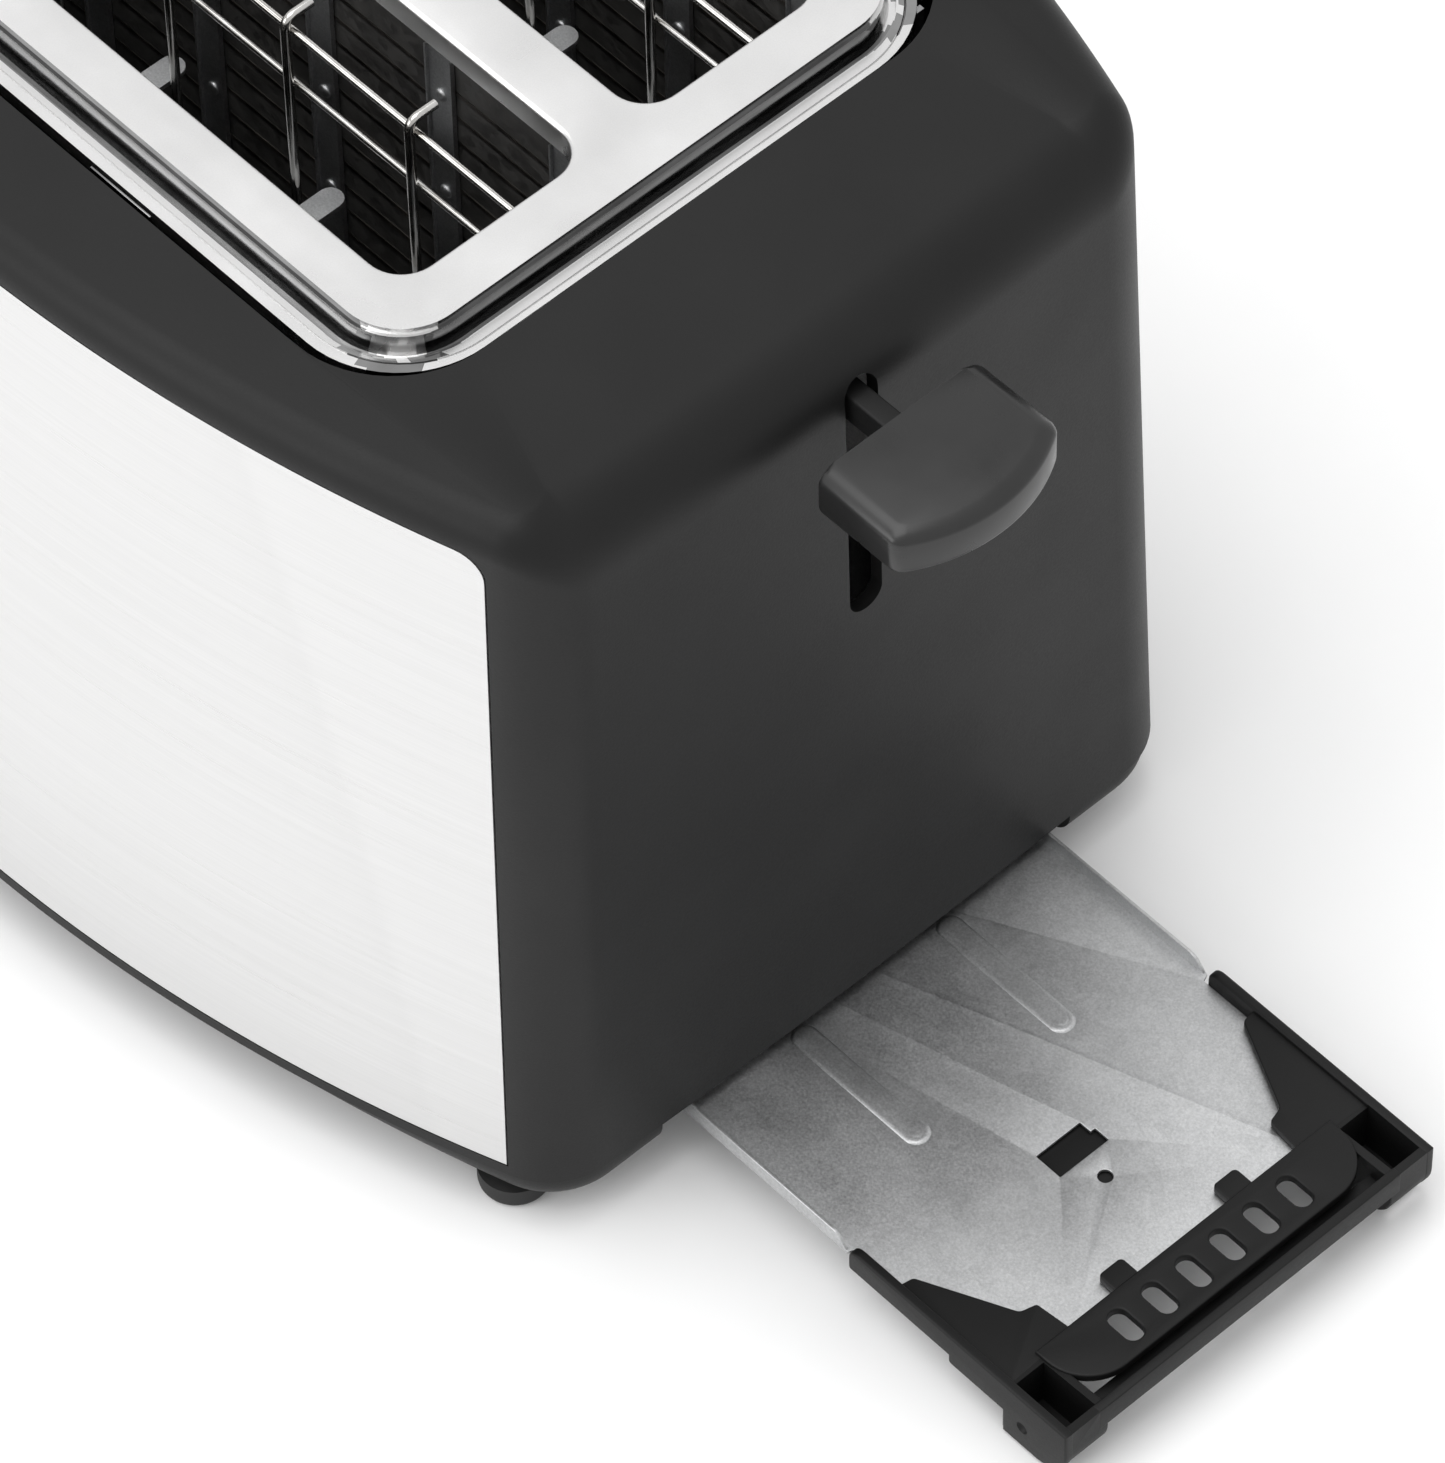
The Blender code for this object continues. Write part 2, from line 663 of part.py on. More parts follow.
def base():
    """Moulded base: rounded rim, floor, rails for the tray and an open mouth at the lever end."""
    low, high = BASE_Z
    rings = []
    for step in range(5):
        angle = math.pi / 2 * step / 4
        inset = BASE_ROUND * (1 - math.sin(angle))
        rings.append(base_ring(inset, low + BASE_ROUND * (1 - math.cos(angle))))
    rings.append(base_ring(0, high))
    tub = loft("base", rings, closed=True)
    inner_rings = [base_ring(BASE_WALL, z) for z in (BASE_FLOOR_TOP, high + 2 * MM)]
    inside = loft("base_inside", inner_rings, closed=True)
    mouth = box("mouth", (MOUTH_X, -MOUTH_HALF, low - 2 * MM), (END_CUT[1], MOUTH_HALF, high + 2 * MM))
    cut(tub, inside, mouth)
    for side in (-1, 1):
        y_low, y_high = side * RAIL_Y - RAIL_HALF_WIDTH, side * RAIL_Y + RAIL_HALF_WIDTH
        rail_low, rail_high = BASE_FLOOR_TOP - 1 * MM, TRAY_SHEET_Z[0] - GAP
        join(tub, box(f"rail_{side}", (RAIL_X[0], y_low, rail_low), (RAIL_X[1], y_high, rail_high)))
    for name, sign_x, sign_y in corner_names("screw"):
        x, y = sign_x * SCREW_XY[0], sign_y * SCREW_XY[1]
        hole = rod(f"{name}_hole", SCREW_HOLE_RADIUS, (x, y, 0), (x, y, BASE_FLOOR_TOP + 2 * MM), 16)
        seat = rod(f"{name}_seat", SCREW_SEAT_RADIUS, (x, y, 0), (x, y, SCREW_SEAT_TOP), 20)
        cut(tub, hole, seat)
    return finished(tub, "black_plastic", smooth=True)


def feet():
    top = BASE_Z[0] - GAP
    profile = [
        (0, top),
        (FOOT_RADIUS, top),
        (FOOT_RADIUS, 1.6 * MM),
        (FOOT_RADIUS - 0.4 * MM, 0.5 * MM),
        (FOOT_RADIUS - 1.2 * MM, 0),
        (0, 0),
    ]
    for name, sign_x, sign_y in corner_names("foot"):
        foot = turned(name, profile, 24)
        placed(foot, (sign_x * FOOT_XY[0], sign_y * FOOT_XY[1], 0))
        finished(foot, "rubber", smooth=True)


def corner_names(stem):
    """Name and side signs for the four corners."""
    for end, sign_x in (("cord_end", -1), ("lever_end", 1)):
        for face, sign_y in (("plain_side", -1), ("control_side", 1)):
            yield f"{stem}_{end}_{face}", sign_x, sign_y


def base_screws():
    head_top = SCREW_SEAT_TOP - GAP
    head_low = head_top - 1 * MM
    tip = 12.6 * MM
    profile = [
        (0, tip),
        (SCREW_SHANK_RADIUS, tip - 0.6 * MM),
        (SCREW_SHANK_RADIUS, head_top),
        (SCREW_HEAD_RADIUS, head_top),
        (SCREW_HEAD_RADIUS, head_low),
        (0, head_low),
    ]
    for name, sign_x, sign_y in corner_names("base_screw"):
        screw = turned(name, profile, 12)
        placed(screw, (sign_x * SCREW_XY[0], sign_y * SCREW_XY[1], 0))
        finished(screw, "satin_steel", smooth=True)


# Toasting box


def chassis_plate(name, side):
    """End plate on two legs, slotted for the bread racks, with a foot tab on each leg."""
    low, high = CHASSIS_Z
    leg_in, leg_out, leg_low = 44 * MM, CHASSIS_HALF_Y, 7.9 * MM
    outline = [
        (leg_out, leg_low),
        (leg_out, high),
        (-leg_out, high),
        (-leg_out, leg_low),
        (-leg_in, leg_low),
        (-leg_in, low),
        (leg_in, low),
        (leg_in, leg_low),
    ]
    x_low, x_high = sorted((side * CHASSIS_X, side * (CHASSIS_X + SHEET)))
    plate = prism(name, [outline], x_low, x_high, "YZ")
    for face in (-1, 1):
        centre = (face * SLOT_Y, RACK_Z - LEVER_TRAVEL / 2)
        slot = rounded_rectangle(2.2 * MM, LEVER_TRAVEL / 2 + 9 * MM, 1.5 * MM, centre, 3)
        cut(plate, prism(f"rack_slot_{name}_{face}", [slot], x_low - 2 * MM, x_high + 2 * MM, "YZ"))
    for face in (-1, 1):
        x_tab = sorted((side * (CHASSIS_X + 0.2 * MM), side * 89 * MM))
        y_tab = sorted((face * 45 * MM, face * 56 * MM))
        tag = f"{name}_{face}"
        low_tab = leg_low + 0.05 * MM
        tab = box("tab_" + tag, (x_tab[0], y_tab[0], low_tab), (x_tab[1], y_tab[1], low_tab + 1.2 * MM))
        join(plate, tab)
        x, y = side * SCREW_XY[0], face * SCREW_XY[1]
        cut(plate, rod("tab_hole_" + tag, SCREW_HOLE_RADIUS, (x, y, 5 * MM), (x, y, 12 * MM), 16))
    return finished(plate, "galvanised")


def reflector(name, side):
    """Bright side wall of the toasting box, with folded top and bottom edges."""
    half = CHASSIS_X - GAP
    y = side * REFLECTOR_Y
    low, high = 18 * MM, 162 * MM
    wall = box(name, (-half, y - 0.3 * MM, low), (half, y + 0.3 * MM, high))
    for tag, z in (("top", high), ("bottom", low + 0.6 * MM)):
        y_fold = sorted((y, y - side * 4 * MM))
        fold = box(f"{name}_{tag}", (-half, y_fold[0], z - 0.6 * MM), (half, y_fold[1], z))
        join(wall, fold)
    return finished(wall, "galvanised")


def heater_card(name, y):
    """Mica card with winding notches along both upright ends and a stepped top corner."""
    low, high = CARD_Z
    step_x, step_z = 60 * MM, 4 * MM
    right = [(CARD_HALF_X, low)]
    notches = 11
    pitch = (high - low - 24 * MM) / notches
    for i in range(notches):
        z = low + 10 * MM + pitch * i
        right += [(CARD_HALF_X, z), (CARD_HALF_X - 1.5 * MM, z + 1 * MM), (CARD_HALF_X, z + 2 * MM)]
    right += [(CARD_HALF_X, high - step_z), (step_x, high - step_z), (step_x, high)]
    left = [(-x, z) for x, z in reversed(right)]
    half = CARD_THICKNESS / 2
    card = prism(name, [right + left], y - half, y + half, "XZ")
    return finished(card, "mica")


def bread_guard(name, y, bend_side):
    """Wires standing on cross rods; each wire's top bends away from the bread."""
    rods = []
    rod_y = y + bend_side * (GUARD_WIRE_RADIUS + GUARD_ROD_RADIUS - 0.35 * MM)
    for z in GUARD_ROD_Z:
        start, end = (-GUARD_HALF_LENGTH, rod_y, z), (GUARD_HALF_LENGTH, rod_y, z)
        rods.append(rod(f"{name}_rod_{len(rods)}", GUARD_ROD_RADIUS, start, end, 8))
    guard = None
    bend = 2 * MM
    for i in range(GUARD_WIRES):
        x = GUARD_FIRST_X - GUARD_PITCH * i
        path = [(x, y, GUARD_BOTTOM), (x, y, GUARD_TOP - bend)]
        for step in (1, 2, 3):
            angle = math.pi / 2 * step / 3
            out, up = bend * (1 - math.cos(angle)), bend * math.sin(angle)
            path.append((x, y + bend_side * out, GUARD_TOP - bend + up))
        path.append((x, y + bend_side * GUARD_BEND, GUARD_TOP))
        upright = wire(name if guard is None else f"{name}_wire_{i}", path, GUARD_WIRE_RADIUS, 1)
        if guard is None:
            guard = join(upright, *rods)
        else:
            join(guard, upright)
    return finished(guard, "chrome_wire", smooth=True)


# Carriage


def bread_rack(name, side):
    """Flat spine with rounded tongues to both sides and a stiffening web under it."""
    centre = side * SLOT_Y
    half_spine, half_tongue = RACK_SPINE / 2, TONGUE_WIDTH / 2
    x_end = CARRIAGE_X - GAP
    low, high = RACK_Z - SHEET, RACK_Z
    spine = prism(name, [spine_outline(-71 * MM, 71 * MM, half_spine, centre)], low, high)
    for i, x in enumerate(TONGUE_X):
        outline = rounded_rectangle(half_tongue, RACK_REACH, half_tongue - 0.1 * MM, (x, centre), 4)
        join(spine, prism(f"{name}_tongue_{i}", [outline], low + 0.02 * MM, high - 0.02 * MM))
    web_low = (-80 * MM, centre - SHEET / 2, low - 6 * MM)
    web_high = (x_end, centre + SHEET / 2, low + 0.5 * MM)
    web = box(f"{name}_web", web_low, web_high)
    join(spine, web)
    return finished(spine, "galvanised")


def spine_outline(x_low, x_high, half, centre):
    return [(x_low, centre - half), (x_high, centre - half), (x_high, centre + half), (x_low, centre + half)]


def carriage_plate():
    """Upright plate across both racks with a shelf towards the lever, bored for the bush."""
    shelf_top = RACK_Z - 2 * MM
    upright = box(
        "carriage_plate",
        (CARRIAGE_X, -33 * MM, RACK_Z - 10 * MM),
        (CARRIAGE_X + SHELF_THICKNESS, 33 * MM, RACK_Z + 6 * MM),
    )
    shelf = box(
        "carriage_shelf",
        (SHELF_X[0] + 0.2 * MM, SHELF_Y[0], shelf_top - SHELF_THICKNESS),
        (SHELF_X[1], SHELF_Y[1], shelf_top),
    )
    x, y = ROD_XY
    reach = 9 * MM
    bore = rod("bush_bore", BUSH_RADII[1] + GAP, (x, y, shelf_top - reach), (x, y, shelf_top + reach), 32)
    cut(join(upright, shelf), bore)
    return finished(upright, "galvanised")


def carriage_bush():
    inner, outer = BUSH_RADII
    x, y = ROD_XY
    bush = rod("carriage_bush", outer, (x, y, RACK_Z - 12 * MM), (x, y, RACK_Z + 8 * MM), 24)
    cut(bush, rod("bush_bore_inner", inner, (x, y, RACK_Z - 20 * MM), (x, y, RACK_Z + 20 * MM), 24))
    return finished(bush, "pale_plastic", smooth=True)


def lever_arm():
    """Flat arm that rises from the shelf and runs out through the lever slot into the knob."""
    foot_z = RACK_Z - 2 * MM + GAP
    low, high = ARM_Z
    outline = [
        (102 * MM, foot_z),
        (111 * MM, foot_z),
        (111 * MM, low - 3 * MM),
        (114 * MM, low),
        (ARM_TIP_X, low),
        (ARM_TIP_X, high),
        (105 * MM, high),
        (102 * MM, high - 3 * MM),
    ]
    arm = prism("lever_arm", [outline], -ARM_HALF_WIDTH, ARM_HALF_WIDTH, "XZ")
    return finished(arm, "black_plastic")


def knob_ring(inset, z):
    """Plan of the knob at one height: flat back, straight sides, bowed front with rounded corners."""
    back, front = KNOB_X[0], KNOB_X[1] - inset
    half, bow, corner = KNOB_HALF_WIDTH - inset, KNOB_BOW_RADIUS - inset, KNOB_CORNER - inset / 2
    corner_y = half - corner
    corner_x = front - bow + math.sqrt((bow - corner) ** 2 - corner_y**2)
    lean = math.asin(corner_y / (bow - corner))
    right = []
    for step in range(5):
        angle = math.pi / 2 + (lean - math.pi / 2) * step / 4
        right.append((corner_x + corner * math.cos(angle), corner_y + corner * math.sin(angle)))
    for step in range(1, 5):
        angle = lean * (1 - step / 4)
        right.append((front - bow + bow * math.cos(angle), bow * math.sin(angle)))
    right = [(back, half - 1 * MM), (back + 1 * MM, half)] + right
    outline = right + [(x, -y) for x, y in reversed(right[:-1])]
    return [(x, y, z) for x, y in outline]


def lever_knob():
    """Knob with a broad chamfer round its top, hollowed for the arm."""
    low, high = KNOB_Z
    rings = [
        knob_ring(0.6 * MM, low),
        knob_ring(0, low + 0.7 * MM),
        knob_ring(0, high - 1.9 * MM),
        knob_ring(0.6 * MM, high - 1.1 * MM),
        knob_ring(2.6 * MM, high),
    ]
    knob = loft("lever_knob", rings, closed=True)
    pocket_low = (KNOB_X[0] - 5 * MM, -ARM_HALF_WIDTH - GAP, ARM_Z[0] - GAP)
    pocket_high = (ARM_TIP_X + GAP, ARM_HALF_WIDTH + GAP, ARM_Z[1] + GAP)
    cut(knob, box("knob_pocket", pocket_low, pocket_high))
    return finished(knob, "gloss_plastic", smooth=True)


def keeper_plate():
    x, y = MAGNET_XY
    top = RACK_Z - 2 * MM - SHELF_THICKNESS - GAP
    keeper = box("keeper_plate", (x - 7 * MM, y - 9 * MM, top - 2 * MM), (x + 7 * MM, y + 9 * MM, top))
    return finished(keeper, "satin_steel")


def guide_rod():
    x, y = ROD_XY
    bar = rod("guide_rod", ROD_RADIUS, (x, y, MAGNET_FOOT), (x, y, BRACKET_Z - GAP), 24)
    return finished(bar, "chrome_wire", smooth=True)


def rod_bracket():
    """Angle on the lever-end chassis plate that holds the rod and the spring at the top."""
    x_low, x_high = CHASSIS_X + SHEET + GAP, 107 * MM
    y_low, y_high = -22 * MM, 24 * MM
    shelf = box("rod_bracket", (x_low, y_low, BRACKET_Z), (x_high, y_high, BRACKET_Z + 1.2 * MM))
    flange_high = (x_low + 1.2 * MM, y_high, BRACKET_Z + 1 * MM)
    flange = box("bracket_flange", (x_low, y_low, BRACKET_Z - 14 * MM), flange_high)
    join(shelf, flange)
    return finished(shelf, "galvanised")


def return_spring():
    """Close-wound tension spring between the bracket and the carriage shelf."""
    x, y = SPRING_XY
    low, high = RACK_Z - 2 * MM + 2 * GAP, BRACKET_Z - GAP
    radius, wire_radius, turns, per_turn = 3.2 * MM, 0.5 * MM, 8, 9
    count = turns * per_turn
    start, end = low + wire_radius, high - wire_radius
    path = []
    for step in range(count + 1):
        angle = math.tau * step / per_turn
        z = mix(start, end, step / count)
        path.append((x + radius * math.cos(angle), y + radius * math.sin(angle), z))
    return finished(wire("return_spring", path, wire_radius, 1), "chrome_wire", smooth=True)


def electromagnet():
    """Iron core with two poles under the keeper, and its coil on the middle of the core."""
    x, y = MAGNET_XY
    foot, face = MAGNET_FOOT, MAGNET_FACE
    core = box("magnet_core", (x - 4 * MM, y - 8 * MM, foot), (x + 4 * MM, y + 8 * MM, foot + 5 * MM))
    pole = box("magnet_pole", (x - 4 * MM, y - 3 * MM, foot + 1 * MM), (x + 4 * MM, y + 3 * MM, face))
    join(core, pole)
    finished(core, "satin_steel")
    outer = rounded_rectangle(8 * MM, 8 * MM, 3 * MM, (x, y), 4)
    inner = rounded_rectangle(4.3 * MM, 3.3 * MM, 0.3 * MM, (x, y), 1)
    coil = prism("magnet_coil", [outer, inner], foot + 5.4 * MM, face - 3 * MM)
    finished(coil, "copper")
    plate = box(
        "lower_bracket",
        (CHASSIS_X + SHEET + GAP, y - 10 * MM, foot - 1.5 * MM),
        (x + 8 * MM, -y + 10 * MM, foot - GAP),
    )
    finished(plate, "galvanised")


def contact_block():
    """Mains switch block, closed by the carriage at the bottom of its travel."""
    block = box("contact_block", (84 * MM, -52 * MM, 40 * MM), (104 * MM, -38 * MM, 62 * MM))
    slot = box("contact_slot", (88 * MM, -55 * MM, 55 * MM), (100 * MM, -35 * MM, 70 * MM))
    cut(block, slot)
    return finished(round_edges(block, 0.6 * MM, 1), "pale_plastic")


def terminal_block():
    block = box("terminal_block", (-112 * MM, -16 * MM, 18 * MM), (-98 * MM, 16 * MM, 32 * MM))
    for i in (-1, 0, 1):
        y = i * 10 * MM
        cut(block, rod(f"terminal_hole_{i}", 2.2 * MM, (-120 * MM, y, 25 * MM), (-105 * MM, y, 25 * MM), 12))
    return finished(block, "pale_plastic")


def cord_gland():
    """Moulded inlet bush: a collar outside the end wall and a spigot through it, with a recessed face."""
    skin = HALF_LENGTH + END_BOW
    profile = [
        (0, GLAND_END - 2.5 * MM),
        (GLAND_BORE_RADIUS, GLAND_END - 2.5 * MM),
        (GLAND_BORE_RADIUS, GLAND_END),
        (GLAND_COLLAR_RADIUS - 2.1 * MM, GLAND_END),
        (GLAND_COLLAR_RADIUS, GLAND_END - 1.4 * MM),
        (GLAND_COLLAR_RADIUS, skin + GAP),
        (GLAND_SPIGOT_RADIUS, skin + GAP),
        (GLAND_SPIGOT_RADIUS, skin - 9 * MM),
        (0, skin - 9 * MM),
    ]
    gland = turned("cord_gland", profile, 32)
    gland.location = (0, 0, GLAND_Z)
    gland.rotation_euler = (0, -math.pi / 2, 0)
    return finished(gland, "rubber", smooth=True)


# Controls


def control_board(frame):
    half_x = 13 * MM
    low, high = BUTTON_Z[-1] - 14 * MM, DIAL_Z + 14 * MM
    board = box("control_board", (-half_x, -BOARD_DEPTH - 1.6 * MM, low), (half_x, -BOARD_DEPTH, high))
    return finished(board, "board", frame)


def dial(frame):
    """Browning dial and its shaft turn together about the shaft; the potentiometer body stays put."""
    profile = [
        (0, DIAL_TOP),
        (DIAL_RADIUS - 2.6 * MM, DIAL_TOP - 0.3 * MM),
        (DIAL_RADIUS - 1.6 * MM, DIAL_TOP - 1.2 * MM),
        (DIAL_RADIUS - 1.0 * MM, 4.0 * MM),
        (DIAL_RADIUS, 3.0 * MM),
        (DIAL_RADIUS, 1.2 * MM),
        (0, 1.2 * MM),
    ]
    knob = turned("browning_dial", profile, 36)
    pointer_end = (0.7 * MM, DIAL_RADIUS - 1.5 * MM, DIAL_TOP + 0.6 * MM)
    pointer = box("dial_pointer", (-0.7 * MM, 3.5 * MM, DIAL_TOP - 2 * MM), pointer_end)
    shaft_end = DIAL_TOP - 2.5 * MM
    bore = rod("dial_bore", SHAFT_RADIUS + GAP, (0, 0, -1 * MM), (0, 0, shaft_end + GAP), 20)
    for piece in (pointer, bore):
        piece.parent = knob
    cut(join(knob, pointer), bore)
    placed(knob, (0, 0, DIAL_Z), turn_x=-math.pi / 2)
    finished(knob, "gloss_plastic", frame, smooth=True)
    shaft = rod("dial_shaft", SHAFT_RADIUS, (0, 0, -14 * MM), (0, 0, shaft_end), 20)
    placed(shaft, (0, 0, DIAL_Z), turn_x=-math.pi / 2)
    finished(shaft, "satin_steel", frame, smooth=True)
    sensor = rod("potentiometer", 8 * MM, (0, 0, -BOARD_DEPTH + GAP), (0, 0, -14.3 * MM), 20)
    placed(sensor, (0, 0, DIAL_Z), turn_x=-math.pi / 2)
    finished(sensor, "satin_steel", frame, smooth=True)


def push_buttons(frame):
    """Each button is a rounded cap with a stem that reaches its switch on the board."""
    for name, z in zip(BUTTON_NAMES, BUTTON_Z):
        cap = prism(f"button_{name}", [button_outline(0, z)], -6 * MM, 2.6 * MM, "XZ")
        stem = rod(f"button_stem_{name}", 2 * MM, (0, -14 * MM, z), (0, -5.5 * MM, z), 12)
        for piece in (cap, stem):
            piece.parent = frame
        join(cap, stem)
        finished(cap, "gloss_plastic", frame)
        half = 3 * MM
        switch_low = (-half, -BOARD_DEPTH + GAP, z - half)
        switch = box(f"switch_{name}", switch_low, (half, -16.2 * MM, z + half))
        finished(switch, "gloss_plastic", frame)


# Crumb tray


def crumb_tray():
    """Folded sheet: flat floor with clipped front corners, upright side flanges, ribs and two holes."""
    low, high = TRAY_SHEET_Z
    rear, front = TRAY_X
    narrow = FRONT_HALF - FRONT_WALL - GAP - 0.2 * MM
    clip_start, clip_end, nose_half = 184 * MM, 198 * MM, 28 * MM
    right = [
        (rear, TRAY_HALF),
        (TRAY_FLANGE_END, TRAY_HALF),
        (TRAY_FLANGE_END + 0.6 * MM, narrow),
        (clip_start, narrow),
        (clip_end, nose_half),
        (front, nose_half),
    ]
    outline = [(x, -y) for x, y in right] + [(x, y) for x, y in reversed(right)]
    window = rounded_rectangle(2.8 * MM, 5.4 * MM, 0.3 * MM, (172.9 * MM, 0), 1)
    round_hole = rounded_rectangle(1.3 * MM, 1.3 * MM, 1.29 * MM, (180.5 * MM, 0), 4)
    sheet = prism("crumb_tray", [outline, window, round_hole], low, high)
    for side in (-1, 1):
        upright = [
            (rear, low),
            (TRAY_FLANGE_END, low),
            (TRAY_FLANGE_END - 2.5 * MM, TRAY_FLANGE_TOP),
            (rear + 1 * MM, TRAY_FLANGE_TOP),
        ]
        y = sorted((side * (TRAY_HALF - 0.02 * MM), side * (TRAY_HALF - 0.6 * MM)))
        join(sheet, prism(f"tray_flange_{side}", [upright], *y, "XZ"))
        rib_half = (TRAY_RIB_X[1] - TRAY_RIB_X[0]) / 2
        rib_centre = (sum(TRAY_RIB_X) / 2, side * TRAY_RIB_Y)
        rib_radius = TRAY_RIB_HALF_WIDTH - 0.1 * MM
        rib = rounded_rectangle(rib_half, TRAY_RIB_HALF_WIDTH, rib_radius, rib_centre, 4)
        join(sheet, prism(f"tray_rib_{side}", [rib], high - 0.3 * MM, high + 0.5 * MM))
    return finished(sheet, "galvanised")


def lobe_profile(back, inset):
    """Side view of the pull lobe: flat underside turning up into the front face."""
    front, bottom = FRONT_X[1] - inset, LOBE_BOTTOM + inset
    radius = 7 * MM
    outline = [(back, bottom)]
    for step in range(6):
        angle = -math.pi / 2 + math.pi / 2 * step / 5
        x = front - radius + radius * math.cos(angle)
        outline.append((x, bottom + radius + radius * math.sin(angle)))
    return outline + [(front, FRONT_TOP - inset)]


def rail_profile():
    """Side view of a side rail, which steps down towards its lobe."""
    back = FRONT_X[0]
    low, step_x, step_low = 8 * MM, 187 * MM, 6 * MM
    lobe_back = LOBE_X + 0.5 * MM
    outline = [(back + 1 * MM, low), (step_x, low), (step_x, step_low), (lobe_back, step_low)]
    outline += lobe_profile(lobe_back, 0)
    return outline + [(back + 1.5 * MM, FRONT_TOP), (back, FRONT_TOP - 1.5 * MM), (back, low + 1 * MM)]


def gusset_outline(side):
    """Plan of the flat web over the sheet's clipped corner, between the rail and the bridge."""
    outer, rear = FRONT_HALF - 1.6 * MM, 174 * MM
    corners = [(rear, outer), (rear, outer - 2.4 * MM), (190.9 * MM, 29 * MM), (191.7 * MM, 26 * MM)]
    corners += [(BRIDGE_X[0] + 1 * MM, 25.2 * MM), (LOBE_X + 1 * MM, outer)]
    return [(x, side * y) for x, y in corners]


def corner_pocket(side):
    """The hollow of a lobe, open at the top."""
    inner, outer = LOBE_Y + 1.5 * MM, FRONT_HALF - FRONT_WALL + 0.1 * MM
    y_low, y_high = sorted((side * inner, side * outer))
    low = (LOBE_X + 1.5 * MM, y_low, LOBE_BOTTOM + 1.5 * MM)
    high = (FRONT_X[1] - FRONT_WALL + 0.1 * MM, y_high, FRONT_TOP + 5 * MM)
    return box(f"front_pocket_{side}", low, high)


def tray_front():
    """Moulded front: thin front wall, vented bridge, gussets over the sheet, side rails and pull lobes."""
    front = FRONT_X[1]
    wall_half = LOBE_Y + 2 * MM
    wall_low = (front - FRONT_WALL, -wall_half, FRONT_WALL_LOW)
    piece = box("tray_front", wall_low, (front - 0.02 * MM, wall_half, FRONT_TOP - 0.02 * MM))
    floor_low = (BRIDGE_X[1] - 1.2 * MM, 1 * MM - wall_half, FRONT_WALL_LOW + 0.1 * MM)
    floor_high = (front - 1 * MM, wall_half - 1 * MM, FRONT_WALL_LOW + 1.3 * MM)
    join(piece, box("channel_floor", floor_low, floor_high))
    for side in (-1, 1):
        y_rail = sorted((side * FRONT_HALF, side * (FRONT_HALF - FRONT_WALL)))
        y_lobe = sorted((side * LOBE_Y, side * (FRONT_HALF - 0.5 * MM)))
        lobe = lobe_profile(LOBE_X, 0.06 * MM) + [(LOBE_X, FRONT_TOP - 1 * MM)]
        tab = rounded_rectangle(3 * MM, 2.6 * MM, 0.8 * MM, (BRIDGE_X[0] - 0.9 * MM, side * TAB_Y), 2)
        join(
            piece,
            prism(f"front_lobe_{side}", [lobe], *y_lobe, "XZ"),
            prism(f"front_rail_{side}", [rail_profile()], *y_rail, "XZ"),
            prism(f"front_gusset_{side}", [gusset_outline(side)], 10.9 * MM, 12.3 * MM),
            prism(f"front_tab_{side}", [tab], 10.95 * MM, 12.6 * MM),
        )
        cut(piece, corner_pocket(side))
    bridge = prism("front_bridge", [bridge_outline(), *vents()], 11.2 * MM, 13.0 * MM)
    join(piece, bridge)
    return finished(piece, "black_plastic", smooth=True)


def bridge_outline():
    rear, front = BRIDGE_X
    outline = [(rear, -BRIDGE_HALF)]
    for first, side in ((-math.pi / 2, -1), (0, 1)):
        for step in range(6):
            angle = first + math.pi / 2 * step / 5
            x = front - BRIDGE_CORNER + BRIDGE_CORNER * math.cos(angle)
            y = side * (BRIDGE_HALF - BRIDGE_CORNER) + BRIDGE_CORNER * math.sin(angle)
            outline.append((x, y))
    return outline + [(rear, BRIDGE_HALF)]


def vents():
    half_x, half_y = VENT_SIZE[0] / 2, VENT_SIZE[1] / 2
    first = -VENT_PITCH * (VENT_COUNT - 1) / 2
    centres = [(VENT_X, first + VENT_PITCH * i) for i in range(VENT_COUNT)]
    return [rounded_rectangle(half_x, half_y, half_y - 0.1 * MM, centre, 4) for centre in centres]


def build():
    frame = control_frame()
    housing(frame)
    side_panel("side_panel_plain", -1)
    side_panel("side_panel_control", 1)
    top_plate()
    base()
    feet()
    base_screws()
    chassis_plate("chassis_plate_lever_end", 1)
    chassis_plate("chassis_plate_cord_end", -1)
    reflector("reflector_plain_side", -1)
    reflector("reflector_control_side", 1)
    for name, y in (("plain_side", -CARD_Y), ("centre", 0), ("control_side", CARD_Y)):
        heater_card(f"heater_card_{name}", y)
    for i, (y, bend_side) in enumerate(zip(GUARD_Y, GUARD_BEND_SIDE)):
        bread_guard(f"bread_guard_{i + 1}", y, bend_side)
    bread_rack("bread_rack_plain_side", -1)
    bread_rack("bread_rack_control_side", 1)
    carriage_plate()
    carriage_bush()
    keeper_plate()
    lever_arm()
    lever_knob()
    guide_rod()
    rod_bracket()
    return_spring()
    electromagnet()
    contact_block()
    terminal_block()
    cord_gland()
    control_board(frame)
    dial(frame)
    push_buttons(frame)
    crumb_tray()
    tray_front()


build()
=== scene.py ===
"""The looks of a two-slot pop-up toaster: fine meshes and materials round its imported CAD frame.

Meshes are built round the body, where x = 0 is the middle of the housing, and then shifted into the
frame. The shell's driving dimensions are the design's own; other places come from the frame's boxes.
"""

import json
import math

import bmesh
import bpy
from mathutils import Matrix, Vector


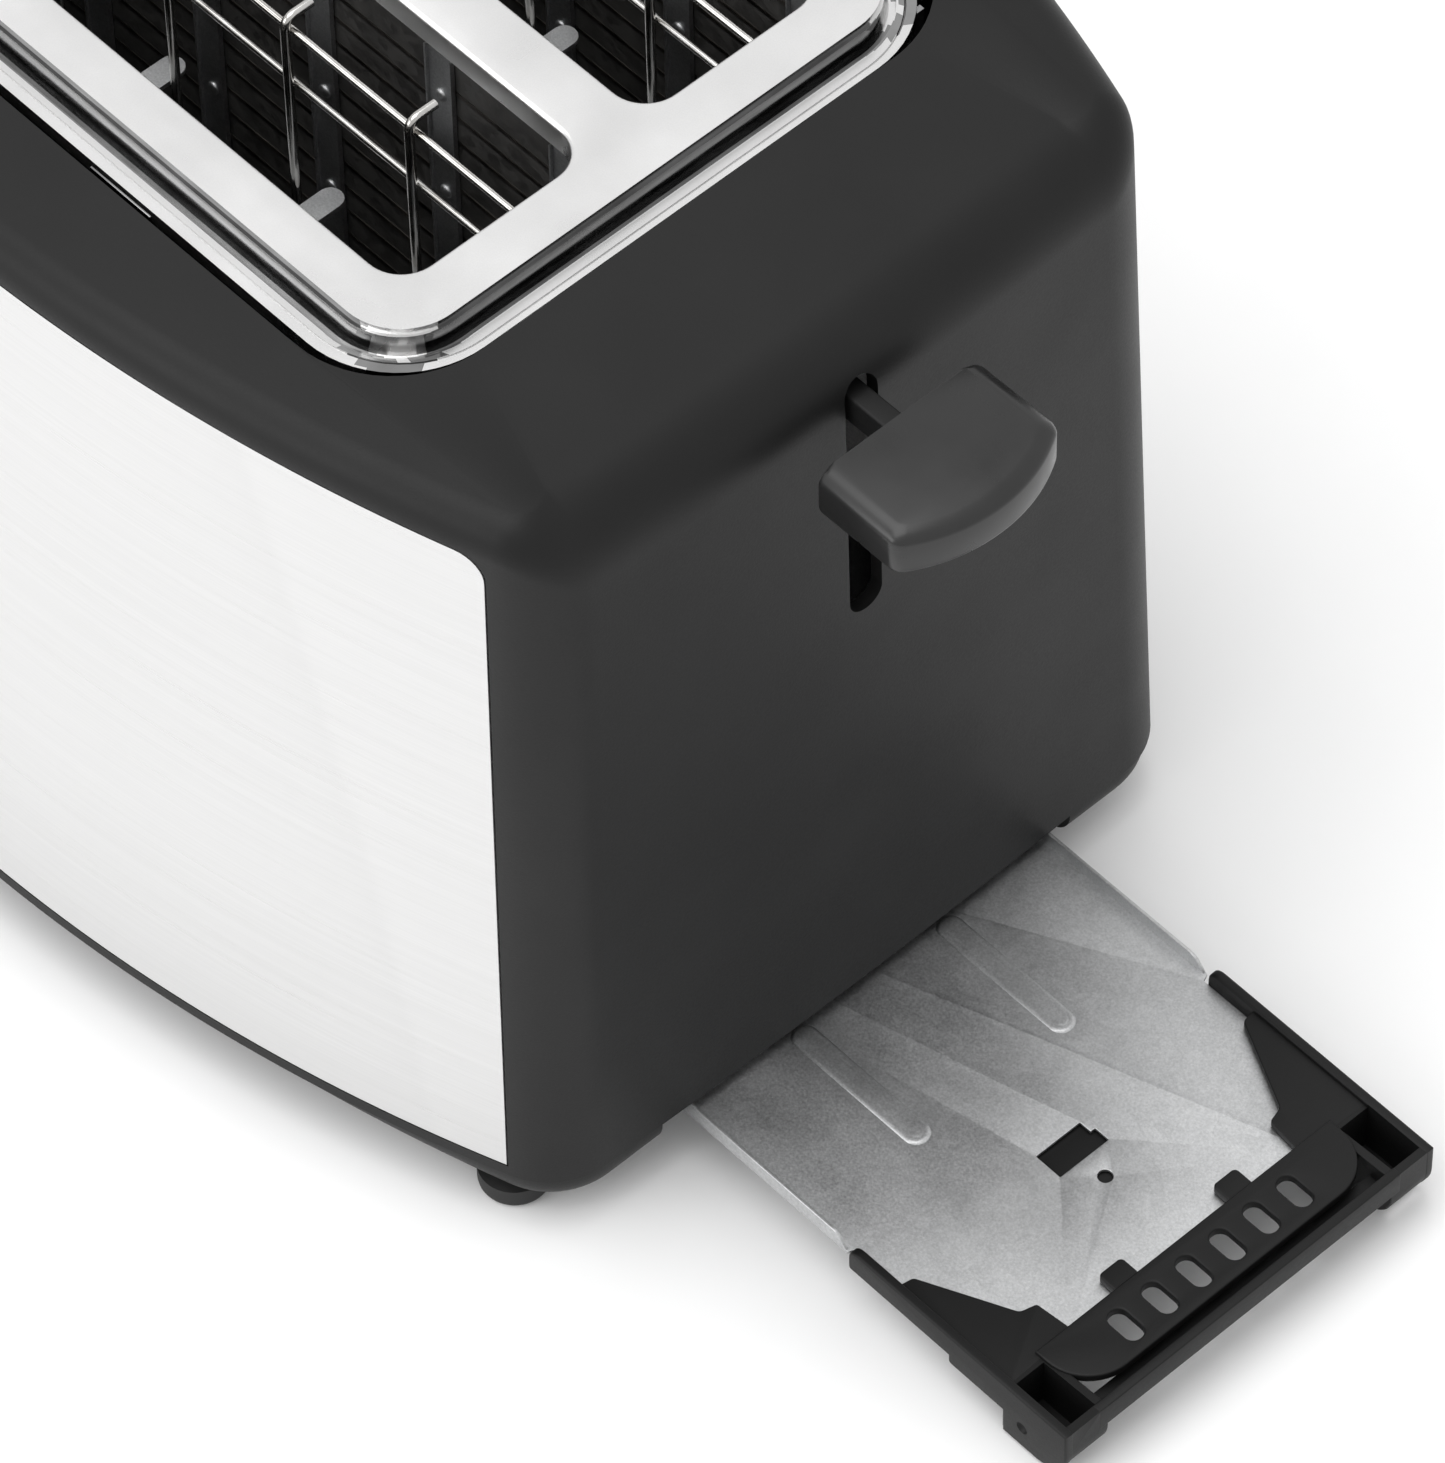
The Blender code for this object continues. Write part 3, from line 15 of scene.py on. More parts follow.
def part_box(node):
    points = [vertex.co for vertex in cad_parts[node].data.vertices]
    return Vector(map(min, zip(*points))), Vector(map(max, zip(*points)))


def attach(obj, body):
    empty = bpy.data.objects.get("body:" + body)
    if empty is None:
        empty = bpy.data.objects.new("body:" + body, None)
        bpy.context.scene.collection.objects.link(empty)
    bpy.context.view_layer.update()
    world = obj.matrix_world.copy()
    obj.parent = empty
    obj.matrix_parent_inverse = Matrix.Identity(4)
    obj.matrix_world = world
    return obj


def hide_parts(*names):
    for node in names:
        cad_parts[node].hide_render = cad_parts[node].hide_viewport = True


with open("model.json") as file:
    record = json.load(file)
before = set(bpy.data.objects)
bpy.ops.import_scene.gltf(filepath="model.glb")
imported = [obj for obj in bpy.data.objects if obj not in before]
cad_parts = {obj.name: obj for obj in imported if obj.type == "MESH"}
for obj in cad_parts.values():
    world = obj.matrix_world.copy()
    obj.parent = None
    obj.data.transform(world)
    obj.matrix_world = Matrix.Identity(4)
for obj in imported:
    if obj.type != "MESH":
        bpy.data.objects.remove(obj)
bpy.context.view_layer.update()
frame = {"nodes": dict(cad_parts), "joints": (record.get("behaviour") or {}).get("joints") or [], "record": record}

MM = 0.001

# Places read from the frame
SHELL_LOW, SHELL_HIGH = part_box("housing")
CENTRE_X = (SHELL_LOW.x + SHELL_HIGH.x) / 2
PLATE_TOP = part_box("top_plate")[1].z
TRAY_LOW, TRAY_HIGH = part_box("crumb_tray")
FRONT_LOW, FRONT_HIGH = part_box("tray_front")
KNOB_LOW, KNOB_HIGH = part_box("lever_knob")
ARM_LOW, ARM_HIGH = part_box("lever_arm")
JOINTS = {joint["name"]: joint for joint in frame["joints"]}

# Housing: bowed long sides, drafted walls, rounded shoulder
HOUSING_BOTTOM = 13.5 * MM
HALF_LENGTH = 125.6 * MM
END_DRAFT = 2.8 * MM
BELLY = SHELL_HIGH.y
SIDE_DRAFT = 7.9 * MM
BOW_RADIUS = 330 * MM
BOW_GROWTH = 28 * MM
CORNER_RADIUS = 14 * MM
END_BOW = 1.0 * MM
WALL = 2.5 * MM
END_SHOULDER_Z = 155 * MM
END_SHOULDER_RADIUS = 13 * MM
SIDE_SHOULDER_Z = 162.3 * MM
SIDE_SHOULDER_RADIUS = 6.5 * MM
SHOULDER_TURN = math.radians(84)
OPENING_HALF = (86.0 * MM, 62.5 * MM)
OPENING_CORNER = 20 * MM
GAP = 0.3 * MM
END_CUT = (105 * MM, 135 * MM)
LEVER_SLOT_Z = (106 * MM, 160.2 * MM)
LEVER_SLOT_WIDTH = 6.8 * MM
GLAND_HOLE_RADIUS = 7.3 * MM
SIDE_STEPS, CORNER_STEPS, END_STEPS, SHOULDER_STEPS = 30, 14, 8, 14

# Steel panels on the long sides
PANEL_THICKNESS = 0.6 * MM
PANEL_Z = (16 * MM, 162 * MM)
PANEL_HALF = (116.0 * MM, 112.2 * MM)
PANEL_CORNER = 5 * MM
CONTROL_PANEL_END = 70 * MM

# Top plate
PLATE_HALF = (84.4 * MM, 59.7 * MM)
PLATEAU_HALF = (78.2 * MM, 52.6 * MM)
GUTTER_HALF = (81.3 * MM, 56.5 * MM)
FLANGE_DROP = 3.9 * MM
SHEET = 0.8 * MM
SLOT_HALF = (69.1 * MM, 19.3 * MM)
SLOT_Y = 25.0 * MM
SLOT_CORNER = 6.5 * MM
SLOT_LIP = 5.0 * MM

# Base and feet
BASE_Z = (4.9 * MM, 13.2 * MM)
BASE_FLOOR_TOP = 7.6 * MM
BASE_BELLY = 89.0 * MM
BASE_BOW_RADIUS = 365 * MM
BASE_ROUND = 7.0 * MM
BASE_STEP_IN = 0.4 * MM
BASE_WALL = 3.2 * MM
MOUTH_X = 96.5 * MM
MOUTH_HALF = 45.5 * MM
RAIL_X = (-90 * MM, MOUTH_X - 3 * MM)
RAIL_Y = 32 * MM
RAIL_HALF_WIDTH = 1.5 * MM

# Inside the slots
GUARD_NAMES = ("bread_guard_1", "bread_guard_2", "bread_guard_3", "bread_guard_4")
GUARD_Y = (-41.5 * MM, -17.7 * MM, 8.5 * MM, 32.3 * MM)
GUARD_BEND_SIDE = (-1, 1, -1, 1)
WIRE_X = (41.1 * MM, 12.1 * MM, -16.9 * MM, -45.9 * MM)
WIRE_RADIUS = 0.85 * MM
ROD_RADIUS = 0.65 * MM
WIRE_Z = (60 * MM, 164.6 * MM)
ROD_Z = (66 * MM, 149.5 * MM, 161.8 * MM)
STRIP_PITCH = 29 * MM
RIBBON_PITCH = 5.8 * MM

# Knob and arm
ARM_UNDERSIDE = 151.2 * MM
KNOB_BOW_RADIUS = 29.5 * MM
KNOB_CORNER = 3 * MM
KNOB_LOWER_EDGE = ((0.8, 0), (0.35, 0.3), (0.05, 0.8), (0, 1.2))  # inset and rise, in millimetres
KNOB_UPPER_EDGE = ((0, 2.1), (0.15, 1.6), (0.6, 1.1), (1.3, 0.6), (2.1, 0.2), (2.9, 0))  # inset and drop

# Crumb tray and its front
TRAY_FLANGE_END = 163 * MM
CLIP_X = (184 * MM, 198 * MM)  # the sheet's clipped corners
NOSE_HALF = 28 * MM
WINDOW_X = (170.1 * MM, 175.7 * MM)
WINDOW_HALF = 5.4 * MM
WINDOW_NOTCH = (172.6 * MM, 4.4 * MM)
ROUND_HOLE_X = 180.5 * MM
RIB_X = (125 * MM, 156 * MM)
RIB_Y = 16.2 * MM
RIB_STEPS = (  # inset and height over the sheet, in millimetres
    (0, -0.1), (0.1, 0.05), (0.35, 0.22), (0.75, 0.32), (1.1, 0.30), (1.45, 0.36), (1.8, 0.38),
)
FRONT_BACK = FRONT_LOW.x - CENTRE_X
FRONT_END = FRONT_HIGH.x - CENTRE_X
FRONT_WALL = 1.8 * MM
FRONT_WALL_LOW = 8.2 * MM
RAIL_LOW = (8 * MM, 6 * MM)  # behind and in front of the step in the side rails
RAIL_STEP_X = 187 * MM
LOBE_X = 199.0 * MM
LOBE_Y = 31.5 * MM
GUSSET_Z = (10.9 * MM, 12.3 * MM)
TAB_X, TAB_Y = 197.5 * MM, 12.7 * MM
BRIDGE_X = (198.4 * MM, 210 * MM)
BRIDGE_Z = (11.2 * MM, 13.0 * MM)
BRIDGE_HALF = 32.8 * MM
BRIDGE_CORNER = 9 * MM
VENT_X = 204.5 * MM
VENT_HALF = (3.4 * MM, 1.8 * MM)
VENT_PITCH = 7.52 * MM
VENT_COUNT = 6

# Controls; the dial's profile is in millimetres
DIAL_RADIUS = 11.0
DIAL_TOP = 9.0
BUTTONS = ("button_cancel", "button_reheat", "button_defrost")
BUTTON_HALF = (7.5 * MM, 4 * MM)
BUTTON_CORNER = 2.5 * MM

# Camera, set up to see the toaster from the photograph's angle
AZIMUTH, ELEVATION, ROLL = math.radians(48.18), math.radians(52.18), math.radians(-1.19)
DISTANCE = 1.6839
SIDESTEP = (-0.05177, 0.02055)
AIM = Vector((CENTRE_X + 13.76 * MM, 0, 4 * MM))
LENS, SENSOR = 246.07, 36.0


# Materials


class Finish:
    """A Principled material with its varying inputs added one by one."""

    def __init__(self, name, colour, roughness, metallic=0.0, **constant):
        self.material = bpy.data.materials.new(name)
        self.material.use_nodes = True
        self.tree = self.material.node_tree
        self.shader = self.tree.nodes["Principled BSDF"]
        self.shader.inputs["Base Color"].default_value = (*colour, 1)
        self.shader.inputs["Roughness"].default_value = roughness
        self.shader.inputs["Metallic"].default_value = metallic
        for socket, value in constant.items():
            self.shader.inputs[socket.replace("_", " ")].default_value = value
        self.normal = None

    def node(self, kind, **settings):
        made = self.tree.nodes.new(kind)
        for key, value in settings.items():
            setattr(made, key, value)
        return made

    def place(self, stretch=(1, 1, 1)):
        """Object coordinates in metres, multiplied along each axis."""
        coordinates = self.node("ShaderNodeTexCoord")
        mapping = self.node("ShaderNodeMapping")
        mapping.inputs["Scale"].default_value = stretch
        self.tree.links.new(coordinates.outputs["Object"], mapping.inputs["Vector"])
        return mapping.outputs["Vector"]

    def noise(self, size, stretch=(1, 1, 1), detail=2.0, roughness=0.5):
        """Noise whose blobs are about size metres across before the stretch."""
        texture = self.node("ShaderNodeTexNoise")
        texture.inputs["Scale"].default_value = 1 / size
        texture.inputs["Detail"].default_value = detail
        texture.inputs["Roughness"].default_value = roughness
        self.tree.links.new(self.place(stretch), texture.inputs["Vector"])
        return texture.outputs["Fac"]

    def cells(self, size):
        """A random shade for each cell of about size metres."""
        texture = self.node("ShaderNodeTexVoronoi")
        texture.inputs["Scale"].default_value = 1 / size
        self.tree.links.new(self.place(), texture.inputs["Vector"])
        shade = self.node("ShaderNodeSeparateColor")
        self.tree.links.new(texture.outputs["Color"], shade.inputs["Color"])
        return shade.outputs["Red"]

    def spread(self, value, low, high, start=0.3, end=0.7):
        """The value's range from start to end, spread over low to high."""
        remap = self.node("ShaderNodeMapRange")
        numbers = {"From Min": start, "From Max": end, "To Min": low, "To Max": high}
        for socket, number in numbers.items():
            remap.inputs[socket].default_value = number
        self.tree.links.new(value, remap.inputs["Value"])
        return remap.outputs["Result"]

    def average(self, first, second, share=0.5):
        mix = self.node("ShaderNodeMix", data_type="FLOAT")
        mix.inputs["Factor"].default_value = share
        self.tree.links.new(first, mix.inputs["A"])
        self.tree.links.new(second, mix.inputs["B"])
        return mix.outputs["Result"]

    def colours(self, value, dark, light, start=0.3, end=0.7):
        """Base colour from dark to light as the value goes from start to end."""
        ramp = self.node("ShaderNodeValToRGB")
        ramp.color_ramp.elements[0].position = start
        ramp.color_ramp.elements[0].color = (*dark, 1)
        ramp.color_ramp.elements[1].position = end
        ramp.color_ramp.elements[1].color = (*light, 1)
        self.tree.links.new(value, ramp.inputs["Fac"])
        self.tree.links.new(ramp.outputs["Color"], self.shader.inputs["Base Color"])
        return self

    def rough(self, value, low, high):
        self.tree.links.new(self.spread(value, low, high), self.shader.inputs["Roughness"])
        return self

    def bump(self, value, depth, strength=1.0):
        """Surface relief of a depth in metres, on top of any relief added before."""
        relief = self.node("ShaderNodeBump")
        relief.inputs["Strength"].default_value = strength
        relief.inputs["Distance"].default_value = depth
        self.tree.links.new(value, relief.inputs["Height"])
        if self.normal:
            self.tree.links.new(self.normal, relief.inputs["Normal"])
        self.normal = relief.outputs["Normal"]
        self.tree.links.new(self.normal, self.shader.inputs["Normal"])
        return self


def grey(value, warmth=0.0):
    return (value * (1 + warmth), value, value * (1 - warmth))


def black_plastic():
    """Moulded plastic with a fine spark-eroded grain."""
    finish = Finish("black_plastic", grey(0.007), 0.47, Specular_IOR_Level=0.25)
    grain = finish.noise(0.42 * MM, detail=3)
    finish.colours(finish.noise(30 * MM, detail=3), grey(0.0055), grey(0.0080))
    finish.rough(finish.average(grain, finish.noise(18 * MM), 0.4), 0.43, 0.53)
    return finish.bump(grain, 0.035 * MM, 0.55)


def gloss_plastic():
    finish = Finish("gloss_plastic", grey(0.011), 0.28)
    handling = finish.noise(9 * MM, detail=4)
    finish.colours(handling, grey(0.0095), grey(0.0130))
    finish.rough(handling, 0.24, 0.36)
    return finish.bump(finish.noise(0.5 * MM), 0.012 * MM, 0.3)


def brushed_steel():
    """Steel brushed along the length: streaks run along X and vary with height."""
    finish = Finish("brushed_steel", grey(0.74), 0.32, 1.0, Anisotropic=0.55)
    tangent = finish.node("ShaderNodeTangent", direction_type="RADIAL", axis="Z")
    finish.tree.links.new(tangent.outputs["Tangent"], finish.shader.inputs["Tangent"])
    fine = finish.noise(1.0, (18, 18, 5200), detail=4, roughness=0.65)
    broad = finish.noise(1.0, (7, 7, 900), detail=3)
    streaks = finish.average(fine, broad, 0.35)
    finish.colours(streaks, grey(0.62, 0.004), grey(0.70, 0.002))
    finish.rough(streaks, 0.25, 0.40)
    return finish.bump(fine, 0.012 * MM, 0.35)


def satin_steel():
    finish = Finish("satin_steel", grey(0.76), 0.30, 1.0)
    frost = finish.noise(0.22 * MM, detail=2)
    cloud = finish.noise(22 * MM, detail=4)
    finish.colours(finish.average(frost, cloud, 0.6), grey(0.72, 0.003), grey(0.82, 0.002))
    finish.rough(cloud, 0.26, 0.34)
    return finish.bump(frost, 0.006 * MM, 0.35)


def polished_steel_painted_dark():
    # The dark base colour is a painted reflection: it stands in for the black shell and slots mirrored in the
    # gutter. The drawn streaks are the sheet's own.
    finish = Finish("polished_steel_painted_dark", grey(0.28), 0.12, 1.0)
    drawn = finish.noise(1.6 * MM, (0.15, 0.15, 2.0), detail=3)
    finish.colours(drawn, grey(0.22), grey(0.34))
    return finish.rough(drawn, 0.08, 0.17)


def galvanised():
    """Zinc-coated sheet: faint spangle under a fine speckle."""
    finish = Finish("galvanised", grey(0.42), 0.42, 1.0)
    speckle = finish.noise(0.40 * MM, detail=3, roughness=0.7)
    spangle = finish.cells(2.6 * MM)
    stain = finish.noise(16 * MM, detail=4)
    mottle = finish.average(finish.average(speckle, spangle, 0.08), stain, 0.22)
    finish.colours(mottle, (0.40, 0.405, 0.41), (0.66, 0.665, 0.67))
    finish.rough(finish.average(speckle, stain, 0.5), 0.34, 0.52)
    return finish.bump(speckle, 0.02 * MM, 0.4)


def chrome_wire():
    finish = Finish("chrome_wire", grey(0.55), 0.16, 1.0)
    tarnish = finish.noise(5 * MM, detail=4)
    finish.colours(tarnish, (0.40, 0.385, 0.365), (0.66, 0.655, 0.64))
    finish.rough(tarnish, 0.10, 0.26)
    return finish.bump(finish.noise(0.6 * MM), 0.01 * MM, 0.3)


def mica():
    """Dark mica sheet, flaky and unevenly toasted."""
    finish = Finish("mica", grey(0.05), 0.5)
    toast = finish.noise(14 * MM, detail=5, roughness=0.6)
    flakes = finish.cells(1.8 * MM)
    finish.colours(finish.average(toast, flakes, 0.3), (0.030, 0.029, 0.028), (0.062, 0.060, 0.057))
    finish.rough(flakes, 0.36, 0.58)
    return finish.bump(finish.noise(1.2 * MM, detail=3), 0.03 * MM, 0.4)


def ribbon():
    finish = Finish("ribbon", grey(0.10), 0.4, 1.0)
    heat = finish.noise(7 * MM, detail=3)
    finish.colours(heat, (0.045, 0.040, 0.038), (0.16, 0.145, 0.13))
    finish.rough(heat, 0.32, 0.5)
    return finish.bump(finish.noise(0.5 * MM), 0.01 * MM, 0.3)


def rubber():
    finish = Finish("rubber", grey(0.014), 0.72)
    dust = finish.noise(3 * MM, detail=4)
    finish.colours(dust, grey(0.011), grey(0.022))
    finish.rough(dust, 0.66, 0.82)
    return finish.bump(finish.noise(0.5 * MM, detail=3), 0.04 * MM, 0.5)


def copper():
    """Coil of enamelled wire: turns lie round Z."""
    finish = Finish("copper", (0.60, 0.28, 0.14), 0.35, 1.0)
    turns = finish.node("ShaderNodeTexWave", bands_direction="Z")
    turns.inputs["Scale"].default_value = 160
    finish.tree.links.new(finish.place(), turns.inputs["Vector"])
    finish.colours(turns.outputs["Fac"], (0.30, 0.12, 0.05), (0.68, 0.33, 0.17), 0.1, 0.8)
    finish.rough(finish.noise(4 * MM), 0.28, 0.42)
    return finish.bump(turns.outputs["Fac"], 0.2 * MM, 0.7)


def board():
    """Circuit board: solder resist over faint tracks."""
    finish = Finish("board", (0.03, 0.13, 0.06), 0.4)
    tracks = finish.cells(3.2 * MM)
    finish.colours(tracks, (0.018, 0.095, 0.042), (0.036, 0.155, 0.070), 0.45, 0.55)
    finish.rough(finish.noise(6 * MM), 0.34, 0.5)
    return finish.bump(tracks, 0.05 * MM, 0.5)


def pale_plastic():
    finish = Finish("pale_plastic", (0.55, 0.53, 0.48), 0.5)
    age = finish.noise(8 * MM, detail=4)
    finish.colours(age, (0.46, 0.43, 0.37), (0.60, 0.58, 0.53))
    finish.rough(age, 0.42, 0.58)
    return finish.bump(finish.noise(0.7 * MM), 0.03 * MM, 0.4)


def white_print():
    finish = Finish("white_print", grey(0.72), 0.5)
    wear = finish.noise(0.7 * MM, detail=3)
    finish.colours(wear, grey(0.62), grey(0.78))
    return finish.rough(wear, 0.45, 0.6)


def floor_finish():
    finish = Finish("floor", grey(0.92), 0.6)
    paper = finish.noise(40 * MM, detail=3)
    finish.colours(paper, grey(0.91), grey(0.93))
    return finish.rough(paper, 0.55, 0.65)


MAKERS = (
    black_plastic, gloss_plastic, brushed_steel, satin_steel, polished_steel_painted_dark, galvanised, chrome_wire,
    mica, ribbon, rubber, copper, board, pale_plastic, white_print, floor_finish,
)
FINISHES = {maker.__name__: maker().material for maker in MAKERS}


# Mesh helpers


def object_from(name, bm):
    bmesh.ops.recalc_face_normals(bm, faces=bm.faces)
    mesh = bpy.data.meshes.new(name)
    bm.to_mesh(mesh)
    bm.free()
    item = bpy.data.objects.new(name, mesh)
    bpy.context.scene.collection.objects.link(item)
    return item


def evaluated_mesh(item):
    bpy.context.view_layer.update()
    return bpy.data.meshes.new_from_object(item.evaluated_get(bpy.context.evaluated_depsgraph_get()))


def bake(item, *spent):
    """Applies the modifiers, then removes the objects that they used."""
    mesh = evaluated_mesh(item)
    item.modifiers.clear()
    item.data = mesh
    for other in spent:
        bpy.data.objects.remove(other, do_unlink=True)
    return item


def combine(target, operation, *others):
    for other in others:
        modifier = target.modifiers.new(other.name, "BOOLEAN")
        modifier.operation = operation
        modifier.solver = "EXACT"
        modifier.object = other
    return bake(target, *others)


def cut(target, *others):
    return combine(target, "DIFFERENCE", *others)


def join(target, *others):
    return combine(target, "UNION", *others)


def gather(name, items):
    """One object from several that only lie side by side."""
    bm = bmesh.new()
    for item in items:
        mesh = evaluated_mesh(item)
        mesh.transform(item.matrix_world)
        bm.from_mesh(mesh)
        bpy.data.objects.remove(item, do_unlink=True)
    return object_from(name, bm)


def dress(item, finish, body, slot, *nodes, angle=32):
    """Shades a piece, gives it its finish, shifts it into the frame and lets it ride on its body."""
    item.data.transform(Matrix.Translation((CENTRE_X, 0, 0)) @ item.matrix_world)
    item.matrix_world = Matrix.Identity(4)
    item.data.materials.clear()
    item.data.materials.append(FINISHES[finish])
    item.data.shade_smooth()
    item.data.set_sharp_from_angle(angle=math.radians(angle))
    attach(item, body)
    if nodes:
        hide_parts(*nodes)
    return item


PLANES = {
    "XY": Matrix.Identity(4),
    "YZ": Matrix(((0, 0, 1, 0), (1, 0, 0, 0), (0, 1, 0, 0), (0, 0, 0, 1))),
    "XZ": Matrix(((1, 0, 0, 0), (0, 0, -1, 0), (0, 1, 0, 0), (0, 0, 0, 1))),
}


def slab(name, outlines, low, high, plane="XY", rounding=0.0):
    """A flat outline, with any holes after it, given thickness and rounded edges."""
    curve = bpy.data.curves.new(name, "CURVE")
    curve.dimensions = "2D"
    curve.fill_mode = "BOTH"
    curve.extrude = (high - low) / 2 - rounding
    curve.bevel_depth = rounding
    curve.bevel_resolution = 3
    curve.offset = -rounding
    for outline in outlines:
        spline = curve.splines.new("POLY")
        spline.points.add(len(outline) - 1)
        for point, (u, v) in zip(spline.points, outline):
            point.co = (u, v, 0, 1)
        spline.use_cyclic_u = True
    item = bpy.data.objects.new(name, curve)
    bpy.context.scene.collection.objects.link(item)
    middle = (low + high) / 2
    offset = {"XY": (0, 0, middle), "YZ": (middle, 0, 0), "XZ": (0, middle, 0)}[plane]
    item.matrix_world = Matrix.Translation(offset) @ PLANES[plane]
    return mesh_from_curve(item)


def mesh_from_curve(item):
    bpy.context.view_layer.update()
    mesh = evaluated_mesh(item)
    bm = bmesh.new()
    bm.from_mesh(mesh)
    bm.transform(item.matrix_world)
    bmesh.ops.remove_doubles(bm, verts=bm.verts, dist=0.005 * MM)
    name = item.name
    bpy.data.objects.remove(item, do_unlink=True)
    return object_from(name, bm)


def block(name, low, high, rounding=0.0):
    """A box with rounded edges."""
    size = [b - a for a, b in zip(low, high)]
    centre = [(a + b) / 2 for a, b in zip(low, high)]
    bm = bmesh.new()
    bmesh.ops.create_cube(bm, size=1, matrix=Matrix.Translation(centre) @ Matrix.Diagonal((*size, 1)))
    if rounding:
        bmesh.ops.bevel(bm, geom=bm.edges[:], offset=rounding, segments=3, profile=0.5, affect="EDGES")
    return object_from(name, bm)


def tube(name, points, radius, sides=6):
    """A bent wire with closed ends."""
    curve = bpy.data.curves.new(name, "CURVE")
    curve.dimensions = "3D"
    curve.bevel_depth = radius
    curve.bevel_resolution = sides - 2
    curve.use_fill_caps = True
    spline = curve.splines.new("POLY")
    spline.points.add(len(points) - 1)
    for point, place in zip(spline.points, points):
        point.co = (*place, 1)
    item = bpy.data.objects.new(name, curve)
    bpy.context.scene.collection.objects.link(item)
    return mesh_from_curve(item)


def turned(name, profile, steps=48):
    """A solid of revolution about +Z. The profile of (radius, z) runs from the top down its outer side."""
    bm = bmesh.new()
    points = [bm.verts.new((r, 0, z)) for r, z in profile]
    for a, b in zip(points, points[1:]):
        bm.edges.new((a, b))
    bmesh.ops.spin(bm, geom=bm.verts[:] + bm.edges[:], cent=(0, 0, 0), axis=(0, 0, 1),
                   angle=math.tau, steps=steps, use_merge=True)
    bmesh.ops.remove_doubles(bm, verts=bm.verts, dist=0.002 * MM)
    return object_from(name, bm)


def loft(name, rings, closed):
    bm = bmesh.new()
    levels = [[bm.verts.new(point) for point in ring] for ring in rings]
    count = len(rings[0])
    for lower, upper in zip(levels, levels[1:]):
        for i in range(count):
            j = (i + 1) % count
            bm.faces.new((lower[i], lower[j], upper[j], upper[i]))
    if closed:
        bm.faces.new(levels[0])
        bm.faces.new(levels[-1])
    return object_from(name, bm)


def rounded_rectangle(half_x, half_y, radius, centre=(0, 0), steps=8):
    points = []
    for quarter, (sign_x, sign_y) in enumerate(((1, 1), (-1, 1), (-1, -1), (1, -1))):
        for step in range(steps + 1):
            angle = math.pi / 2 * (quarter + step / steps)
            x = centre[0] + sign_x * (half_x - radius) + radius * math.cos(angle)
            y = centre[1] + sign_y * (half_y - radius) + radius * math.sin(angle)
            points.append((x, y))
    return points


def filleted(corners, steps=5):
    """An outline from (u, v, radius) corners, each turned by an arc-like curve of that reach."""
    outline = []
    count = len(corners)
    for i, (u, v, radius) in enumerate(corners):
        here = Vector((u, v))
        before = Vector(corners[i - 1][:2]) - here
        after = Vector(corners[(i + 1) % count][:2]) - here
        reach = min(radius, before.length * 0.48, after.length * 0.48)
        if reach < 0.02 * MM:
            outline.append((u, v))
            continue
        start, end = here + before.normalized() * reach, here + after.normalized() * reach
        for step in range(steps + 1):
            t = step / steps
            point = start * (1 - t) ** 2 + here * 2 * t * (1 - t) + end * t**2
            outline.append(tuple(point))
    return outline


def soften(rows, reaches, steps=5):
    """Rounds the corners of a polyline of 4-D rows, each over its own reach."""
    rows = [Vector(row) for row in rows]
    out = [rows[0]]
    for i in range(1, len(rows) - 1):
        before, after = rows[i - 1] - rows[i], rows[i + 1] - rows[i]
        reach = min(reaches[i], before.length * 0.48, after.length * 0.48)
        start, end = rows[i] + before.normalized() * reach, rows[i] + after.normalized() * reach
        for step in range(steps + 1):
            t = step / steps
            out.append(start * (1 - t) ** 2 + rows[i] * 2 * t * (1 - t) + end * t**2)
    return out + [rows[-1]]


def mix(a, b, share):
    return a + (b - a) * share


# Shell


def body_outline(half_length, belly, radius, corner, bow=0.0):
    """Plan outline as (x, y, sideness). Sideness runs from 0 on the ends to 1 on the long sides."""
    arc_centre = belly - radius
    corner_x = half_length - corner
    corner_y = arc_centre + math.sqrt((radius - corner) ** 2 - corner_x**2)
    lean = math.asin(corner_x / (radius - corner))
    quarter = []
    for step in range(END_STEPS):
        share = step / END_STEPS
        quarter.append((half_length + bow * (1 - share**2), corner_y * share, 0.0))
    for step in range(CORNER_STEPS):
        share = step / CORNER_STEPS
        angle = (math.pi / 2 - lean) * share
        x = corner_x + corner * math.cos(angle)
        y = corner_y + corner * math.sin(angle)
        quarter.append((x, y, share * share * (3 - 2 * share)))
    for step in range(SIDE_STEPS + 1):
        angle = lean * (1 - step / SIDE_STEPS)
        quarter.append((radius * math.sin(angle), arc_centre + radius * math.cos(angle), 1.0))
    half = quarter + [(-x, y, s) for x, y, s in quarter[-2::-1]]
    return half + [(x, -y, s) for x, y, s in half[-2:0:-1]]


def outline_normals(outline):
    normals = []
    for i in range(len(outline)):
        before, after = outline[i - 1], outline[(i + 1) % len(outline)]
        tangent = Vector((after[0] - before[0], after[1] - before[1]))
        normals.append(Vector((tangent.y, -tangent.x)).normalized())
    return normals


def draft_share(z):
    return (z - HOUSING_BOTTOM) / (SIDE_SHOULDER_Z - HOUSING_BOTTOM)


def side_y(x, z):
    share = draft_share(z)
    radius = BOW_RADIUS + BOW_GROWTH * share
    return BELLY - SIDE_DRAFT * share - radius + math.sqrt(radius**2 - x**2)


